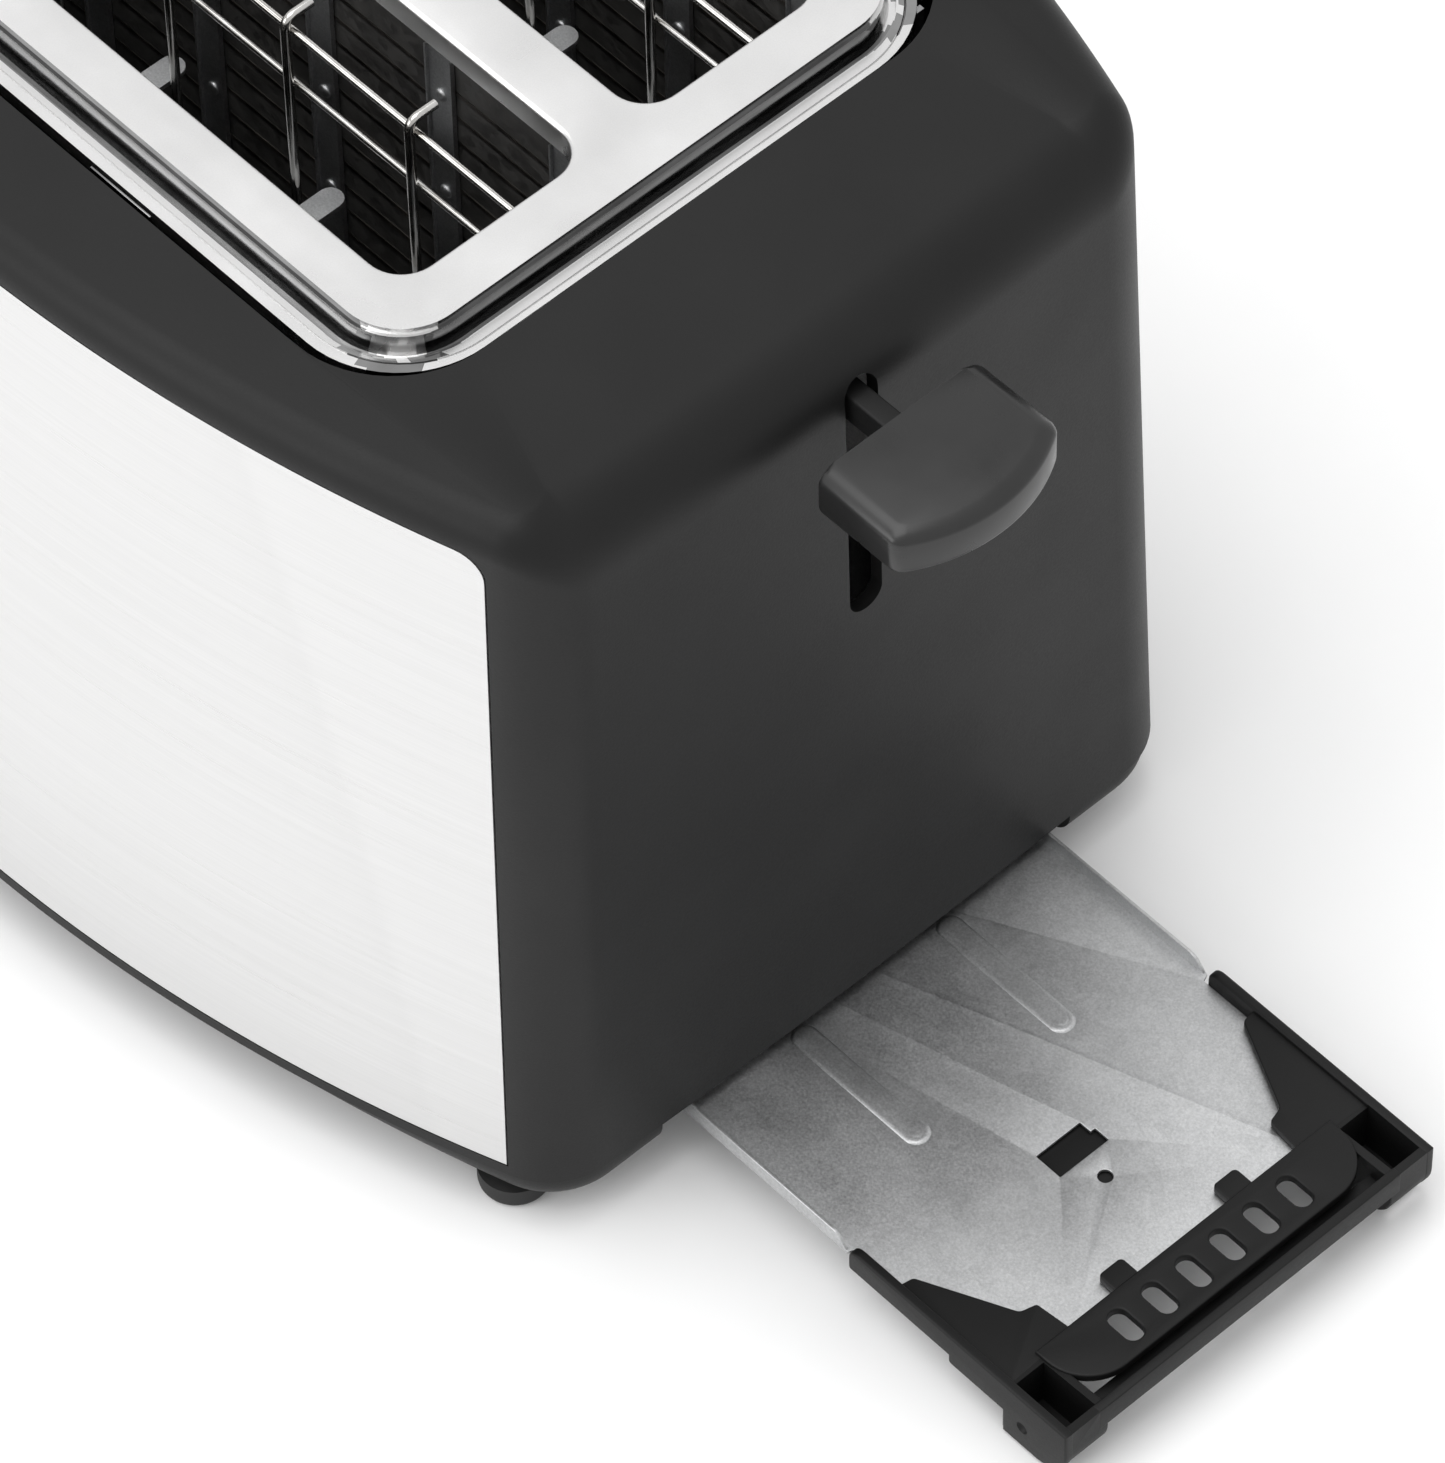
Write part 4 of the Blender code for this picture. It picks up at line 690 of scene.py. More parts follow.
def skin_rings():
    bottom = body_outline(HALF_LENGTH, BELLY, BOW_RADIUS, CORNER_RADIUS, END_BOW)
    top_radius = BOW_RADIUS + BOW_GROWTH
    top = body_outline(HALF_LENGTH - END_DRAFT, BELLY - SIDE_DRAFT, top_radius, CORNER_RADIUS, END_BOW)
    opening = body_outline(*OPENING_HALF, 50 * BOW_RADIUS, OPENING_CORNER)
    normals = outline_normals(top)

    def on_wall(i, z):
        share = draft_share(z)
        return Vector((mix(bottom[i][0], top[i][0], share), mix(bottom[i][1], top[i][1], share), z))

    rings = [[on_wall(i, z) for i in range(len(top))] for z in (HOUSING_BOTTOM, 60 * MM, 110 * MM)]
    for step in range(SHOULDER_STEPS + 1):
        angle = SHOULDER_TURN * step / SHOULDER_STEPS
        ring = []
        for i, (_, _, sideness) in enumerate(top):
            radius = mix(END_SHOULDER_RADIUS, SIDE_SHOULDER_RADIUS, sideness)
            start = on_wall(i, mix(END_SHOULDER_Z, SIDE_SHOULDER_Z, sideness))
            inward = normals[i] * radius * (1 - math.cos(angle))
            ring.append(start + Vector((-inward.x, -inward.y, radius * math.sin(angle))))
        rings.append(ring)
    rings.append([Vector((x, y, SHELL_HIGH.z)) for x, y, _ in opening])
    return rings


def curved_slab(name, side, depth, outside):
    """A slab that follows the long side's skin, from depth inside it to some way outside it."""
    low_z, high_z = HOUSING_BOTTOM - 2 * MM, SIDE_SHOULDER_Z + 2 * MM
    bm = bmesh.new()
    bmesh.ops.create_grid(bm, x_segments=96, y_segments=3, size=0.5)
    for vert in bm.verts:
        x = vert.co.x * 2 * (PANEL_HALF[0] + 3 * MM)
        z = mix(low_z, high_z, vert.co.y + 0.5)
        vert.co = (x, side * (side_y(x, z) - depth), z)
    extruded = bmesh.ops.extrude_face_region(bm, geom=bm.faces[:])
    for vert in [v for v in extruded["geom"] if isinstance(v, bmesh.types.BMVert)]:
        vert.co.y += side * (depth + outside)
    return object_from(name, bm)


def panel_outline(side, grow):
    """Outline in x and z of a side panel: sharp lower corners and rounded upper ones."""
    end = PANEL_HALF[0] if side < 0 else CONTROL_PANEL_END
    low_z, high_z = PANEL_Z[0] - grow, PANEL_Z[1] + grow
    low_x, high_x = PANEL_HALF[0] + grow, PANEL_HALF[1] + grow
    right_low, right_high = min(low_x, end + grow), min(high_x, end + grow)
    outline = [(-low_x, low_z), (right_low, low_z)]
    for centre_x, first in ((right_high - PANEL_CORNER, 0), (-high_x + PANEL_CORNER, math.pi / 2)):
        for step in range(9):
            angle = first + math.pi / 2 * step / 8
            x = centre_x + PANEL_CORNER * math.cos(angle)
            outline.append((x, high_z - PANEL_CORNER + PANEL_CORNER * math.sin(angle)))
    return outline


def panel_shape(name, side, depth, outside, grow):
    shape = curved_slab(name, side, depth, outside)
    reach = sorted((side * 40 * MM, side * 110 * MM))
    blank = slab(name + "_blank", [panel_outline(side, grow)], *reach, "XZ")
    return combine(shape, "INTERSECT", blank)


def control_matrix():
    """The controls' local frame: its +Y points straight out of the skin."""
    dial = JOINTS["dial_turn"]
    turn = -math.atan2(dial["axis"][0], dial["axis"][1])
    place = (dial["pos_m"][0] - CENTRE_X, dial["pos_m"][1], 0)
    return Matrix.Translation(place) @ Matrix.Rotation(turn, 4, "Z")


def centre_z(node):
    low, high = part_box(node)
    return (low.z + high.z) / 2


def control_holes():
    """Cutters for the dial's shaft and the buttons, through the housing wall."""
    reach = (-12 * MM, 8 * MM)
    z = centre_z("browning_dial")
    circle = rounded_rectangle(3.6 * MM, 3.6 * MM, 3.59 * MM, (0, z))
    holes = [slab("dial_hole", [circle], *reach, "XZ")]
    for node in BUTTONS:
        half_x, half_z = BUTTON_HALF[0] + 0.4 * MM, BUTTON_HALF[1] + 0.4 * MM
        outline = rounded_rectangle(half_x, half_z, BUTTON_CORNER + 0.4 * MM, (0, centre_z(node)))
        holes.append(slab("hole_" + node, [outline], *reach, "XZ"))
    for hole in holes:
        hole.data.transform(control_matrix())
    return holes


def housing():
    shell = loft("shell", skin_rings(), closed=False)
    thickness = shell.modifiers.new("wall", "SOLIDIFY")
    thickness.thickness = WALL
    thickness.offset = -1
    thickness.use_even_offset = True
    bake(shell)
    low, high = LEVER_SLOT_Z
    half_width, half_height = LEVER_SLOT_WIDTH / 2, (high - low) / 2
    centre = (0, (low + high) / 2)
    outline = rounded_rectangle(half_width, half_height, half_width - 0.05 * MM, centre, 12)
    lever_slot = slab("lever_slot", [outline], *END_CUT, "YZ")
    radius = GLAND_HOLE_RADIUS
    circle = rounded_rectangle(radius, radius, radius - 0.01 * MM, (0, centre_z("cord_gland")), 12)
    gland_hole = slab("gland_hole", [circle], -END_CUT[1], -END_CUT[0], "YZ")
    recesses = [
        panel_shape(f"recess_{side}", side, PANEL_THICKNESS + GAP, 6 * MM, GAP) for side in (-1, 1)
    ]
    cut(shell, *recesses, lever_slot, gland_hole, *control_holes())
    dress(shell, "black_plastic", "body", "black_plastic", "housing", angle=40)


def side_panels():
    for node, side in (("side_panel_plain", -1), ("side_panel_control", 1)):
        panel = panel_shape("skin_" + node, side, PANEL_THICKNESS, 0, 0)
        dress(panel, "brushed_steel", "body", "brushed_steel", node, angle=40)


def plate_profile():
    """Rows of half length, half width, corner radius and height, from the outer lip to the plateau."""
    flange = PLATE_TOP - FLANGE_DROP
    gutter = flange - 1.3 * MM

    def row(half, inset_x, inset_y, corner, z):
        return (half[0] - inset_x * MM, half[1] - inset_y * MM, corner * MM, z)

    rows = [
        row(PLATE_HALF, 0, 0, 19, flange - 2.5 * MM),
        row(PLATE_HALF, 0, 0, 19, flange),
        row(PLATE_HALF, 1.0, 1.7, 18.2, flange),
        row(PLATE_HALF, 1.2, 1.9, 18, flange - 0.35 * MM),
        row(PLATE_HALF, 1.4, 2.1, 17.8, flange),
        row(GUTTER_HALF, 0, 0, 15.4, flange - 0.1 * MM),
        row(GUTTER_HALF, 0.5, 0.6, 14.8, gutter),
        row(GUTTER_HALF, 1.3, 1.4, 13.8, gutter),
        row(PLATEAU_HALF, -0.6, -0.9, 11.2, PLATE_TOP - 1.5 * MM),
        row(PLATEAU_HALF, 0, 0, 10.6, PLATE_TOP),
        row(PLATEAU_HALF, 2.2, 2.2, 9, PLATE_TOP),
    ]
    reaches = [0, 0.5, 0.05, 0.05, 0.05, 0.4, 0.3, 0.5, 0.5, 1.3, 0]
    return soften(rows, [reach * MM for reach in reaches])


def slot_cutter(side):
    """Cuts a bread slot and rounds the sheet's edge over into it."""
    centre = (0, side * SLOT_Y)
    radius = SHEET
    levels = [(PLATE_TOP - 12 * MM, 0)]
    for step in range(7):
        angle = math.pi / 2 * step / 6
        levels.append((PLATE_TOP - radius + radius * math.sin(angle), radius * (1 - math.cos(angle))))
    levels.append((PLATE_TOP + 3 * MM, radius))
    rings = []
    for z, grow in levels:
        outline = rounded_rectangle(SLOT_HALF[0] + grow, SLOT_HALF[1] + grow, SLOT_CORNER + grow, centre, 12)
        rings.append([(x, y, z) for x, y in outline])
    return loft(f"slot_cutter_{side}", rings, closed=True)


def top_plate():
    rings = []
    for half_x, half_y, corner, z in plate_profile():
        rings.append([(x, y, z) for x, y in rounded_rectangle(half_x, half_y, corner, steps=14)])
    plate = loft("plate", rings, closed=False)
    bm = bmesh.new()
    bm.from_mesh(plate.data)
    top_rim = [e for e in bm.edges if e.is_boundary and e.verts[0].co.z > PLATE_TOP - 0.1 * MM]
    bmesh.ops.contextual_create(bm, geom=top_rim)
    bmesh.ops.recalc_face_normals(bm, faces=bm.faces)
    bm.to_mesh(plate.data)
    bm.free()
    thickness = plate.modifiers.new("sheet", "SOLIDIFY")
    thickness.thickness = SHEET
    thickness.offset = -1
    bake(plate)
    lips, cutters = [], []
    for side in (-1, 1):
        grow = SHEET
        outline = rounded_rectangle(
            SLOT_HALF[0] + grow, SLOT_HALF[1] + grow, SLOT_CORNER + grow, (0, side * SLOT_Y), 12
        )
        lips.append(slab(f"lip_{side}", [outline], PLATE_TOP - SLOT_LIP, PLATE_TOP - 0.2 * MM))
        cutters.append(slot_cutter(side))
    join(plate, *lips)
    cut(plate, *cutters)
    dress(plate, "satin_steel", "body", "satin_steel", "top_plate", angle=40)
    polish_gutter_and_paint_reflection(plate)


def polish_gutter_and_paint_reflection(plate):
    """The drawn gutter between plateau and flange is polished, and its colour is darkened as a painted reflection
    of the dark shell and slots; the flat faces stay satin.
    """
    plate.data.materials.append(FINISHES["polished_steel_painted_dark"])
    low, high = PLATE_TOP - 8 * MM, PLATE_TOP - 0.7 * MM
    for face in plate.data.polygons:
        x, y = abs(face.center.x - CENTRE_X), abs(face.center.y)
        past_plateau = max(x - PLATEAU_HALF[0], y - PLATEAU_HALF[1]) > 0.2 * MM
        inside_flange = max(x - GUTTER_HALF[0], y - GUTTER_HALF[1]) < 0
        if past_plateau and inside_flange and low < face.center.z < high:
            face.material_index = 1


def gap_clips():
    """Thin spring clips in the gap between the plate's edge and the housing, on the plain side."""
    y = -(OPENING_HALF[1] + PLATE_HALF[1]) / 2
    clips = []
    for i, x in enumerate((-22 * MM, 24 * MM)):
        low = (x - 7 * MM, y - 0.2 * MM, SHELL_HIGH.z - 5 * MM)
        high = (x + 7 * MM, y + 0.2 * MM, SHELL_HIGH.z - 1.2 * MM)
        clips.append(block(f"clip_{i}", low, high, 0.12 * MM))
    # The clips take the same darkened steel, with its painted dark reflection.
    dress(gather("gap_clips", clips), "polished_steel_painted_dark", "body", "satin_steel")


def base_ring(inset, z):
    half_length = HALF_LENGTH - BASE_STEP_IN - inset
    outline = body_outline(half_length, BASE_BELLY - inset, BASE_BOW_RADIUS, CORNER_RADIUS - inset / 2)
    return [(x, y, z) for x, y, _ in outline]


def base():
    low, high = BASE_Z
    rings = []
    for step in range(11):
        angle = math.pi / 2 * step / 10
        inset = BASE_ROUND * (1 - math.sin(angle))
        rings.append(base_ring(inset, low + BASE_ROUND * (1 - math.cos(angle))))
    rings.append(base_ring(0, high))
    tub = loft("tub", rings, closed=True)
    inside = loft("tub_inside", [base_ring(BASE_WALL, z) for z in (BASE_FLOOR_TOP, high + 2 * MM)], True)
    mouth = block("mouth", (MOUTH_X, -MOUTH_HALF, low - 2 * MM), (END_CUT[1], MOUTH_HALF, high + 2 * MM))
    cutters = [inside, mouth]
    for node in [n for n in frame["nodes"] if n.startswith("base_screw")]:
        screw_low, screw_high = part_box(node)
        x = (screw_low.x + screw_high.x) / 2 - CENTRE_X
        y = (screw_low.y + screw_high.y) / 2
        cutters.append(turned_at("seat_" + node, [(0, 6.5), (3.4, 6.5), (3.4, 0), (0, 0)], (x, y)))
    cut(tub, *cutters)
    rails = []
    for side in (-1, 1):
        y = side * RAIL_Y
        low_corner = (RAIL_X[0], y - RAIL_HALF_WIDTH, BASE_FLOOR_TOP - 1 * MM)
        high_corner = (RAIL_X[1], y + RAIL_HALF_WIDTH, TRAY_LOW.z - GAP)
        rails.append(block(f"rail_{side}", low_corner, high_corner))
    join(tub, *rails)
    cooling_slots(tub)
    dress(tub, "black_plastic", "body", "black_plastic", "base", angle=40)


def turned_at(name, profile, place, steps=32):
    """A turned piece with its profile in millimetres, standing at a place in plan."""
    item = turned(name, [(r * MM, z * MM) for r, z in profile], steps)
    item.data.transform(Matrix.Translation((*place, 0)))
    return item


def cooling_slots(tub):
    """Cooling slots through the base's floor, in two rows along the length."""
    slots = []
    count, reach = 9, 64 * MM
    for i in range(count):
        x = mix(-reach, reach, i / (count - 1))
        for side in (-1, 1):
            outline = rounded_rectangle(1.6 * MM, 9 * MM, 1.5 * MM, (x, side * 15 * MM), 5)
            slots.append(slab(f"vent_{i}_{side}", [outline], BASE_Z[0] - 2 * MM, BASE_FLOOR_TOP + 1 * MM))
    cut(tub, gather("base_vents", slots))


def feet():
    profile = [(0, 4.6), (6.2, 4.6), (6.2, 1.7), (6.1, 1.1), (5.85, 0.6), (5.4, 0.2), (4.9, 0.0)]
    profile += [(3.6, 0.0), (3.3, 0.5), (0, 0.5)]
    for node in [n for n in frame["nodes"] if n.startswith("foot_")]:
        low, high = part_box(node)
        place = ((low.x + high.x) / 2 - CENTRE_X, (low.y + high.y) / 2)
        foot = turned_at("rubber_" + node, profile, place, 48)
        dress(foot, "rubber", "body", "rubber", node)


# Inside the slots


def guard(node, y, bend_side):
    """Round wires on cross rods; each wire's top bends away from the bread and hooks over."""
    parts = []
    rod_y = y + bend_side * (WIRE_RADIUS + ROD_RADIUS - 0.35 * MM)
    half = 72.5 * MM
    for i, z in enumerate(ROD_Z):
        parts.append(tube(f"{node}_rod_{i}", [(-half, rod_y, z), (half, rod_y, z)], ROD_RADIUS, 8))
    bend, reach = 2 * MM, 5.5 * MM
    for i, x in enumerate(WIRE_X):
        path = [(x, y, WIRE_Z[0]), (x, y, WIRE_Z[1] - bend)]
        for step in range(1, 8):
            angle = math.pi / 2 * step / 7
            out, up = bend * (1 - math.cos(angle)), bend * math.sin(angle)
            path.append((x, y + bend_side * out, WIRE_Z[1] - bend + up))
        path.append((x, y + bend_side * reach, WIRE_Z[1]))
        parts.append(tube(f"{node}_wire_{i}", path, WIRE_RADIUS, 8))
    body = node.replace("bread_", "")
    dress(gather("wires_" + body, parts), "chrome_wire", body, "chrome_wire", node)


def guards():
    for node, y, bend_side in zip(GUARD_NAMES, GUARD_Y, GUARD_BEND_SIDE):
        guard(node, y, bend_side)


def heater_windings():
    """Flat ribbon wound round each mica card, and riveted strips that clamp it."""
    for tag in ("plain_side", "centre", "control_side"):
        low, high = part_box("heater_card_" + tag)
        y = (low.y + high.y) / 2
        half_x, half_y = (high.x - low.x) / 2 + 0.15 * MM, (high.y - low.y) / 2 + 0.12 * MM
        loops, strips = [], []
        count = int((high.z - low.z - 14 * MM) / RIBBON_PITCH)
        for i in range(count + 1):
            z = low.z + 8 * MM + RIBBON_PITCH * i
            outer = [(half_x, y + half_y), (-half_x, y + half_y), (-half_x, y - half_y), (half_x, y - half_y)]
            inner = [(x * 0.9985, y + (v - y) * 0.82) for x, v in outer]
            loops.append(slab(f"loop_{tag}_{i}", [outer, inner], z, z + 0.9 * MM))
        dress(gather("ribbon_" + tag, loops), "ribbon", "body", "mica")
        for face in (-1, 1):
            for k in range(-2, 3):
                place = (k * STRIP_PITCH, y + face * half_y)
                strips += clamp_strip(f"{tag}_{face}_{k}", *place, face, low.z, high.z)
        dress(gather("strips_" + tag, strips), "galvanised", "body", "galvanised")


def clamp_strip(tag, x, y, face, low, high):
    """A dark strip with turned-up edges and a rivet every so often."""
    outline = [(x - 3.1 * MM, 0), (x + 3.1 * MM, 0), (x + 3.1 * MM, 0.9 * MM), (x + 2.7 * MM, 0.9 * MM)]
    outline += [(x + 2.7 * MM, 0.3 * MM), (x - 2.7 * MM, 0.3 * MM), (x - 2.7 * MM, 0.9 * MM)]
    outline += [(x - 3.1 * MM, 0.9 * MM)]
    placed = [(u, y + face * (v + 0.05 * MM)) for u, v in outline]
    parts = [slab("strip_" + tag, [placed], low + 4 * MM, high - 2 * MM)]
    z = high - 12 * MM
    while z > low + 20 * MM:
        bm = bmesh.new()
        scale = Matrix.Diagonal((1.3 * MM, 0.7 * MM, 1.3 * MM, 1))
        bmesh.ops.create_uvsphere(bm, u_segments=14, v_segments=8, radius=1,
                                  matrix=Matrix.Translation((x, y + face * 0.4 * MM, z)) @ scale)
        parts.append(object_from(f"rivet_{tag}_{len(parts)}", bm))
        z -= 23 * MM
    return parts


# Carriage


def knob_ring(inset, z):
    """Plan of the knob at one height: flat back, straight sides, bowed front with rounded corners."""
    back, front = KNOB_LOW.x - CENTRE_X, KNOB_HIGH.x - CENTRE_X - inset
    half, bow, corner = KNOB_HIGH.y - inset, KNOB_BOW_RADIUS - inset, KNOB_CORNER - inset / 2
    corner_y = half - corner
    corner_x = front - bow + math.sqrt((bow - corner) ** 2 - corner_y**2)
    lean = math.asin(corner_y / (bow - corner))
    steps = 12
    right = [(back, half - 1 * MM), (back + 0.3 * MM, half - 0.3 * MM), (back + 1 * MM, half)]
    for step in range(steps + 1):
        angle = math.pi / 2 + (lean - math.pi / 2) * step / steps
        right.append((corner_x + corner * math.cos(angle), corner_y + corner * math.sin(angle)))
    for step in range(1, steps + 1):
        angle = lean * (1 - step / steps)
        right.append((front - bow + bow * math.cos(angle), bow * math.sin(angle)))
    outline = right + [(x, -y) for x, y in reversed(right[:-1])]
    return [(x, y, z) for x, y in outline]


def knob():
    """Knob with a broad rounded chamfer round its top, hollowed for the arm."""
    rings = [knob_ring(inset * MM, KNOB_LOW.z + rise * MM) for inset, rise in KNOB_LOWER_EDGE]
    rings += [knob_ring(inset * MM, KNOB_HIGH.z - drop * MM) for inset, drop in KNOB_UPPER_EDGE]
    item = loft("knob", rings, closed=True)
    pocket_low = (KNOB_LOW.x - CENTRE_X - 5 * MM, ARM_LOW.y - GAP, ARM_UNDERSIDE - GAP)
    pocket = block("pocket", pocket_low, (ARM_HIGH.x - CENTRE_X + GAP, ARM_HIGH.y + GAP, ARM_HIGH.z + GAP))
    cut(item, pocket)
    dress(item, "gloss_plastic", "carriage", "gloss_plastic", "lever_knob")


def lever_arm():
    back, tip = ARM_LOW.x - CENTRE_X, ARM_HIGH.x - CENTRE_X
    foot, low, high = ARM_LOW.z, ARM_UNDERSIDE, ARM_HIGH.z
    corners = [
        (back, foot, 0), (back + 9 * MM, foot, 0), (back + 9 * MM, low, 4 * MM),
        (tip, low, 0.4 * MM), (tip, high, 0.4 * MM), (back, high, 4 * MM),
    ]
    arm = slab("arm", [filleted(corners)], ARM_LOW.y, ARM_HIGH.y, "XZ", rounding=0.5 * MM)
    dress(arm, "black_plastic", "carriage", "black_plastic", "lever_arm")


# Crumb tray


def tray_sheet():
    """Folded sheet: floor with clipped front corners, embossed ribs, side flanges, a window and a hole."""
    low, high = TRAY_LOW.z, TRAY_LOW.z + 0.6 * MM
    rear, front = TRAY_LOW.x - CENTRE_X, TRAY_HIGH.x - CENTRE_X
    half, flange_end = TRAY_HIGH.y, TRAY_FLANGE_END
    narrow = FRONT_HIGH.y - 2.3 * MM
    right = [
        (rear, half, 1 * MM), (flange_end, half, 0.6 * MM), (flange_end + 0.6 * MM, narrow, 0.2 * MM),
        (CLIP_X[0], narrow, 1 * MM), (CLIP_X[1], NOSE_HALF, 1 * MM), (front, NOSE_HALF, 0.3 * MM),
    ]
    corners = [(x, -y, r) for x, y, r in right] + [(x, y, r) for x, y, r in reversed(right)]
    (back, fore), window_y = WINDOW_X, WINDOW_HALF
    notch_x, notch_y = WINDOW_NOTCH
    turn = 0.2 * MM
    window = filleted([
        (back, -window_y, turn), (fore, -window_y, turn), (fore, window_y, turn),
        (notch_x, window_y, 0), (notch_x, notch_y, 0), (back, notch_y, turn),
    ])
    hole = rounded_rectangle(1.3 * MM, 1.3 * MM, 1.29 * MM, (ROUND_HOLE_X, 0), 8)
    sheet = slab("tray_sheet", [filleted(corners), window, hole], low, high, rounding=0.12 * MM)
    extras = []
    for side in (-1, 1):
        top = TRAY_HIGH.z
        upright = [
            (rear, low + 0.05 * MM, 0), (flange_end, low + 0.05 * MM, 0),
            (flange_end - 2.6 * MM, top, 1.4 * MM), (rear + 1 * MM, top, 1 * MM),
        ]
        y = sorted((side * half, side * (half - 0.6 * MM)))
        extras.append(slab(f"flange_{side}", [filleted(upright)], *y, "XZ", rounding=0.15 * MM))
        extras.append(embossed_rib(f"rib_{side}", side * RIB_Y, high))
    join(sheet, *extras)
    dress(sheet, "galvanised", "tray", "galvanised", "crumb_tray", angle=28)


def embossed_rib(name, y, top):
    """A long pressed rib with round ends and a soft double step."""
    start, end = RIB_X
    rings = []
    for inset, z in RIB_STEPS:
        half_x, half_y = (end - start) / 2 - inset * MM, 2.5 * MM - inset * MM
        outline = rounded_rectangle(half_x, half_y, half_y - 0.02 * MM, ((start + end) / 2, y), 8)
        rings.append([(u, v, top + z * MM) for u, v in outline])
    return loft(name, rings, closed=True)


def lobe_profile(back, inset):
    """Side view of the pull lobe: flat underside turning up into the front face."""
    front, bottom, radius = FRONT_END - inset, FRONT_LOW.z + inset, 7 * MM
    outline = [(back, bottom)]
    for step in range(13):
        angle = -math.pi / 2 + math.pi / 2 * step / 12
        x = front - radius + radius * math.cos(angle)
        outline.append((x, bottom + radius + radius * math.sin(angle)))
    return outline + [(front, FRONT_HIGH.z - inset)]


def rail_profile():
    """Side view of a side rail, which steps down towards its lobe and has a round back end."""
    top = FRONT_HIGH.z
    rear_low, fore_low = RAIL_LOW
    corners = [
        (FRONT_BACK, rear_low, 0.8 * MM), (RAIL_STEP_X, rear_low, 0), (RAIL_STEP_X, fore_low, 0.9 * MM),
        (LOBE_X + 0.5 * MM, fore_low, 0),
    ]
    corners += [(u, v, 0) for u, v in lobe_profile(LOBE_X + 0.5 * MM, 0)]
    corners += [(FRONT_BACK, top, 2.4 * MM)]
    return filleted(corners)


def gusset_outline(side):
    """Plan of the flat web over the sheet's clipped corner, between the rail and the bridge."""
    outer = FRONT_HIGH.y - 0.8 * MM
    corners = [
        (174.0 * MM, outer, 0), (174.6 * MM, outer - 3.4 * MM, 0.6 * MM), (190.9 * MM, 29 * MM, 0.7 * MM),
        (191.7 * MM, 26 * MM, 0.5 * MM), (199.4 * MM, 25.2 * MM, 0), (LOBE_X + 1 * MM, outer, 0),
    ]
    return filleted([(x, side * y, r) for x, y, r in corners])


def tray_front():
    """Moulded front: thin front wall, vented bridge, gussets, side rails and hollow pull lobes."""
    top = FRONT_HIGH.z
    low_corner = (FRONT_END - FRONT_WALL, -LOBE_Y - 2 * MM, FRONT_WALL_LOW)
    wall = block("front", low_corner, (FRONT_END - 0.03 * MM, LOBE_Y + 2 * MM, top - 0.03 * MM), 0.25 * MM)
    floor_low = (208.8 * MM, -LOBE_Y - 1 * MM, FRONT_WALL_LOW + 0.1 * MM)
    floor_high = (FRONT_END - 1 * MM, LOBE_Y + 1 * MM, FRONT_WALL_LOW + 1.3 * MM)
    parts, pockets = [block("channel_floor", floor_low, floor_high)], []
    for side in (-1, 1):
        half = FRONT_HIGH.y
        y_rail = sorted((side * half, side * (half - FRONT_WALL)))
        y_lobe = sorted((side * LOBE_Y, side * (half - 0.5 * MM)))
        lobe = lobe_profile(LOBE_X, 0.07 * MM) + [(LOBE_X, top - 1 * MM)]
        parts.append(slab(f"lobe_{side}", [lobe], *y_lobe, "XZ", rounding=0.3 * MM))
        parts.append(slab(f"side_rail_{side}", [rail_profile()], *y_rail, "XZ", rounding=0.45 * MM))
        parts.append(slab(f"gusset_{side}", [gusset_outline(side)], *GUSSET_Z, rounding=0.2 * MM))
        tab = rounded_rectangle(3 * MM, 2.6 * MM, 0.9 * MM, (TAB_X, side * TAB_Y))
        parts.append(slab(f"tab_{side}", [tab], 10.95 * MM, 12.65 * MM, rounding=0.3 * MM))
        y_pocket = sorted((side * (LOBE_Y + 1.5 * MM), side * (half - FRONT_WALL + 0.1 * MM)))
        pocket_low = (LOBE_X + 1.5 * MM, y_pocket[0], 2 * MM)
        pocket_high = (FRONT_END - FRONT_WALL + 0.1 * MM, y_pocket[1], 20 * MM)
        pockets.append(block(f"pocket_{side}", pocket_low, pocket_high))
    join(wall, *parts)
    cut(wall, *pockets, lobe_dimple())
    join(wall, slab("bridge", [bridge_outline(), *vents()], *BRIDGE_Z, rounding=0.35 * MM))
    dress(wall, "black_plastic", "tray", "black_plastic", "tray_front", angle=30)


def latch_plate():
    """Dark plate under the tray sheet, seen through its window and its round hole."""
    plate = block("latch", (168 * MM, -8 * MM, 9.0 * MM), (183 * MM, 8 * MM, 9.7 * MM), 0.15 * MM)
    dress(plate, "black_plastic", "tray", "black_plastic")


def lobe_dimple():
    """A shallow round dent in the outer side of the plain side's lobe."""
    bm = bmesh.new()
    place = Matrix.Translation((204 * MM, -FRONT_HIGH.y - 0.5 * MM, 5.6 * MM))
    bmesh.ops.create_uvsphere(bm, u_segments=24, v_segments=12, radius=1.3 * MM, matrix=place)
    return object_from("dimple", bm)


def bridge_outline():
    (rear, front), half, corner = BRIDGE_X, BRIDGE_HALF, BRIDGE_CORNER
    outline = [(rear, -half)]
    for first, side in ((-math.pi / 2, -1), (0, 1)):
        for step in range(13):
            angle = first + math.pi / 2 * step / 12
            x = front - corner + corner * math.cos(angle)
            outline.append((x, side * (half - corner) + corner * math.sin(angle)))
    return outline + [(rear, half)]


def vents():
    half_x, half_y = VENT_HALF
    first = -VENT_PITCH * (VENT_COUNT - 1) / 2
    centres = [(VENT_X, first + VENT_PITCH * i) for i in range(VENT_COUNT)]
    return [rounded_rectangle(half_x, half_y, half_y - 0.05 * MM, centre, 8) for centre in centres]


# Controls and cord inlet


def in_control_frame(item, z):
    """Turns a piece built round +Z so that it points straight out of the skin, at height z."""
    point_out = Matrix.Translation((0, 0, z)) @ Matrix.Rotation(-math.pi / 2, 4, "X")
    item.data.transform(control_matrix() @ point_out)
    return item


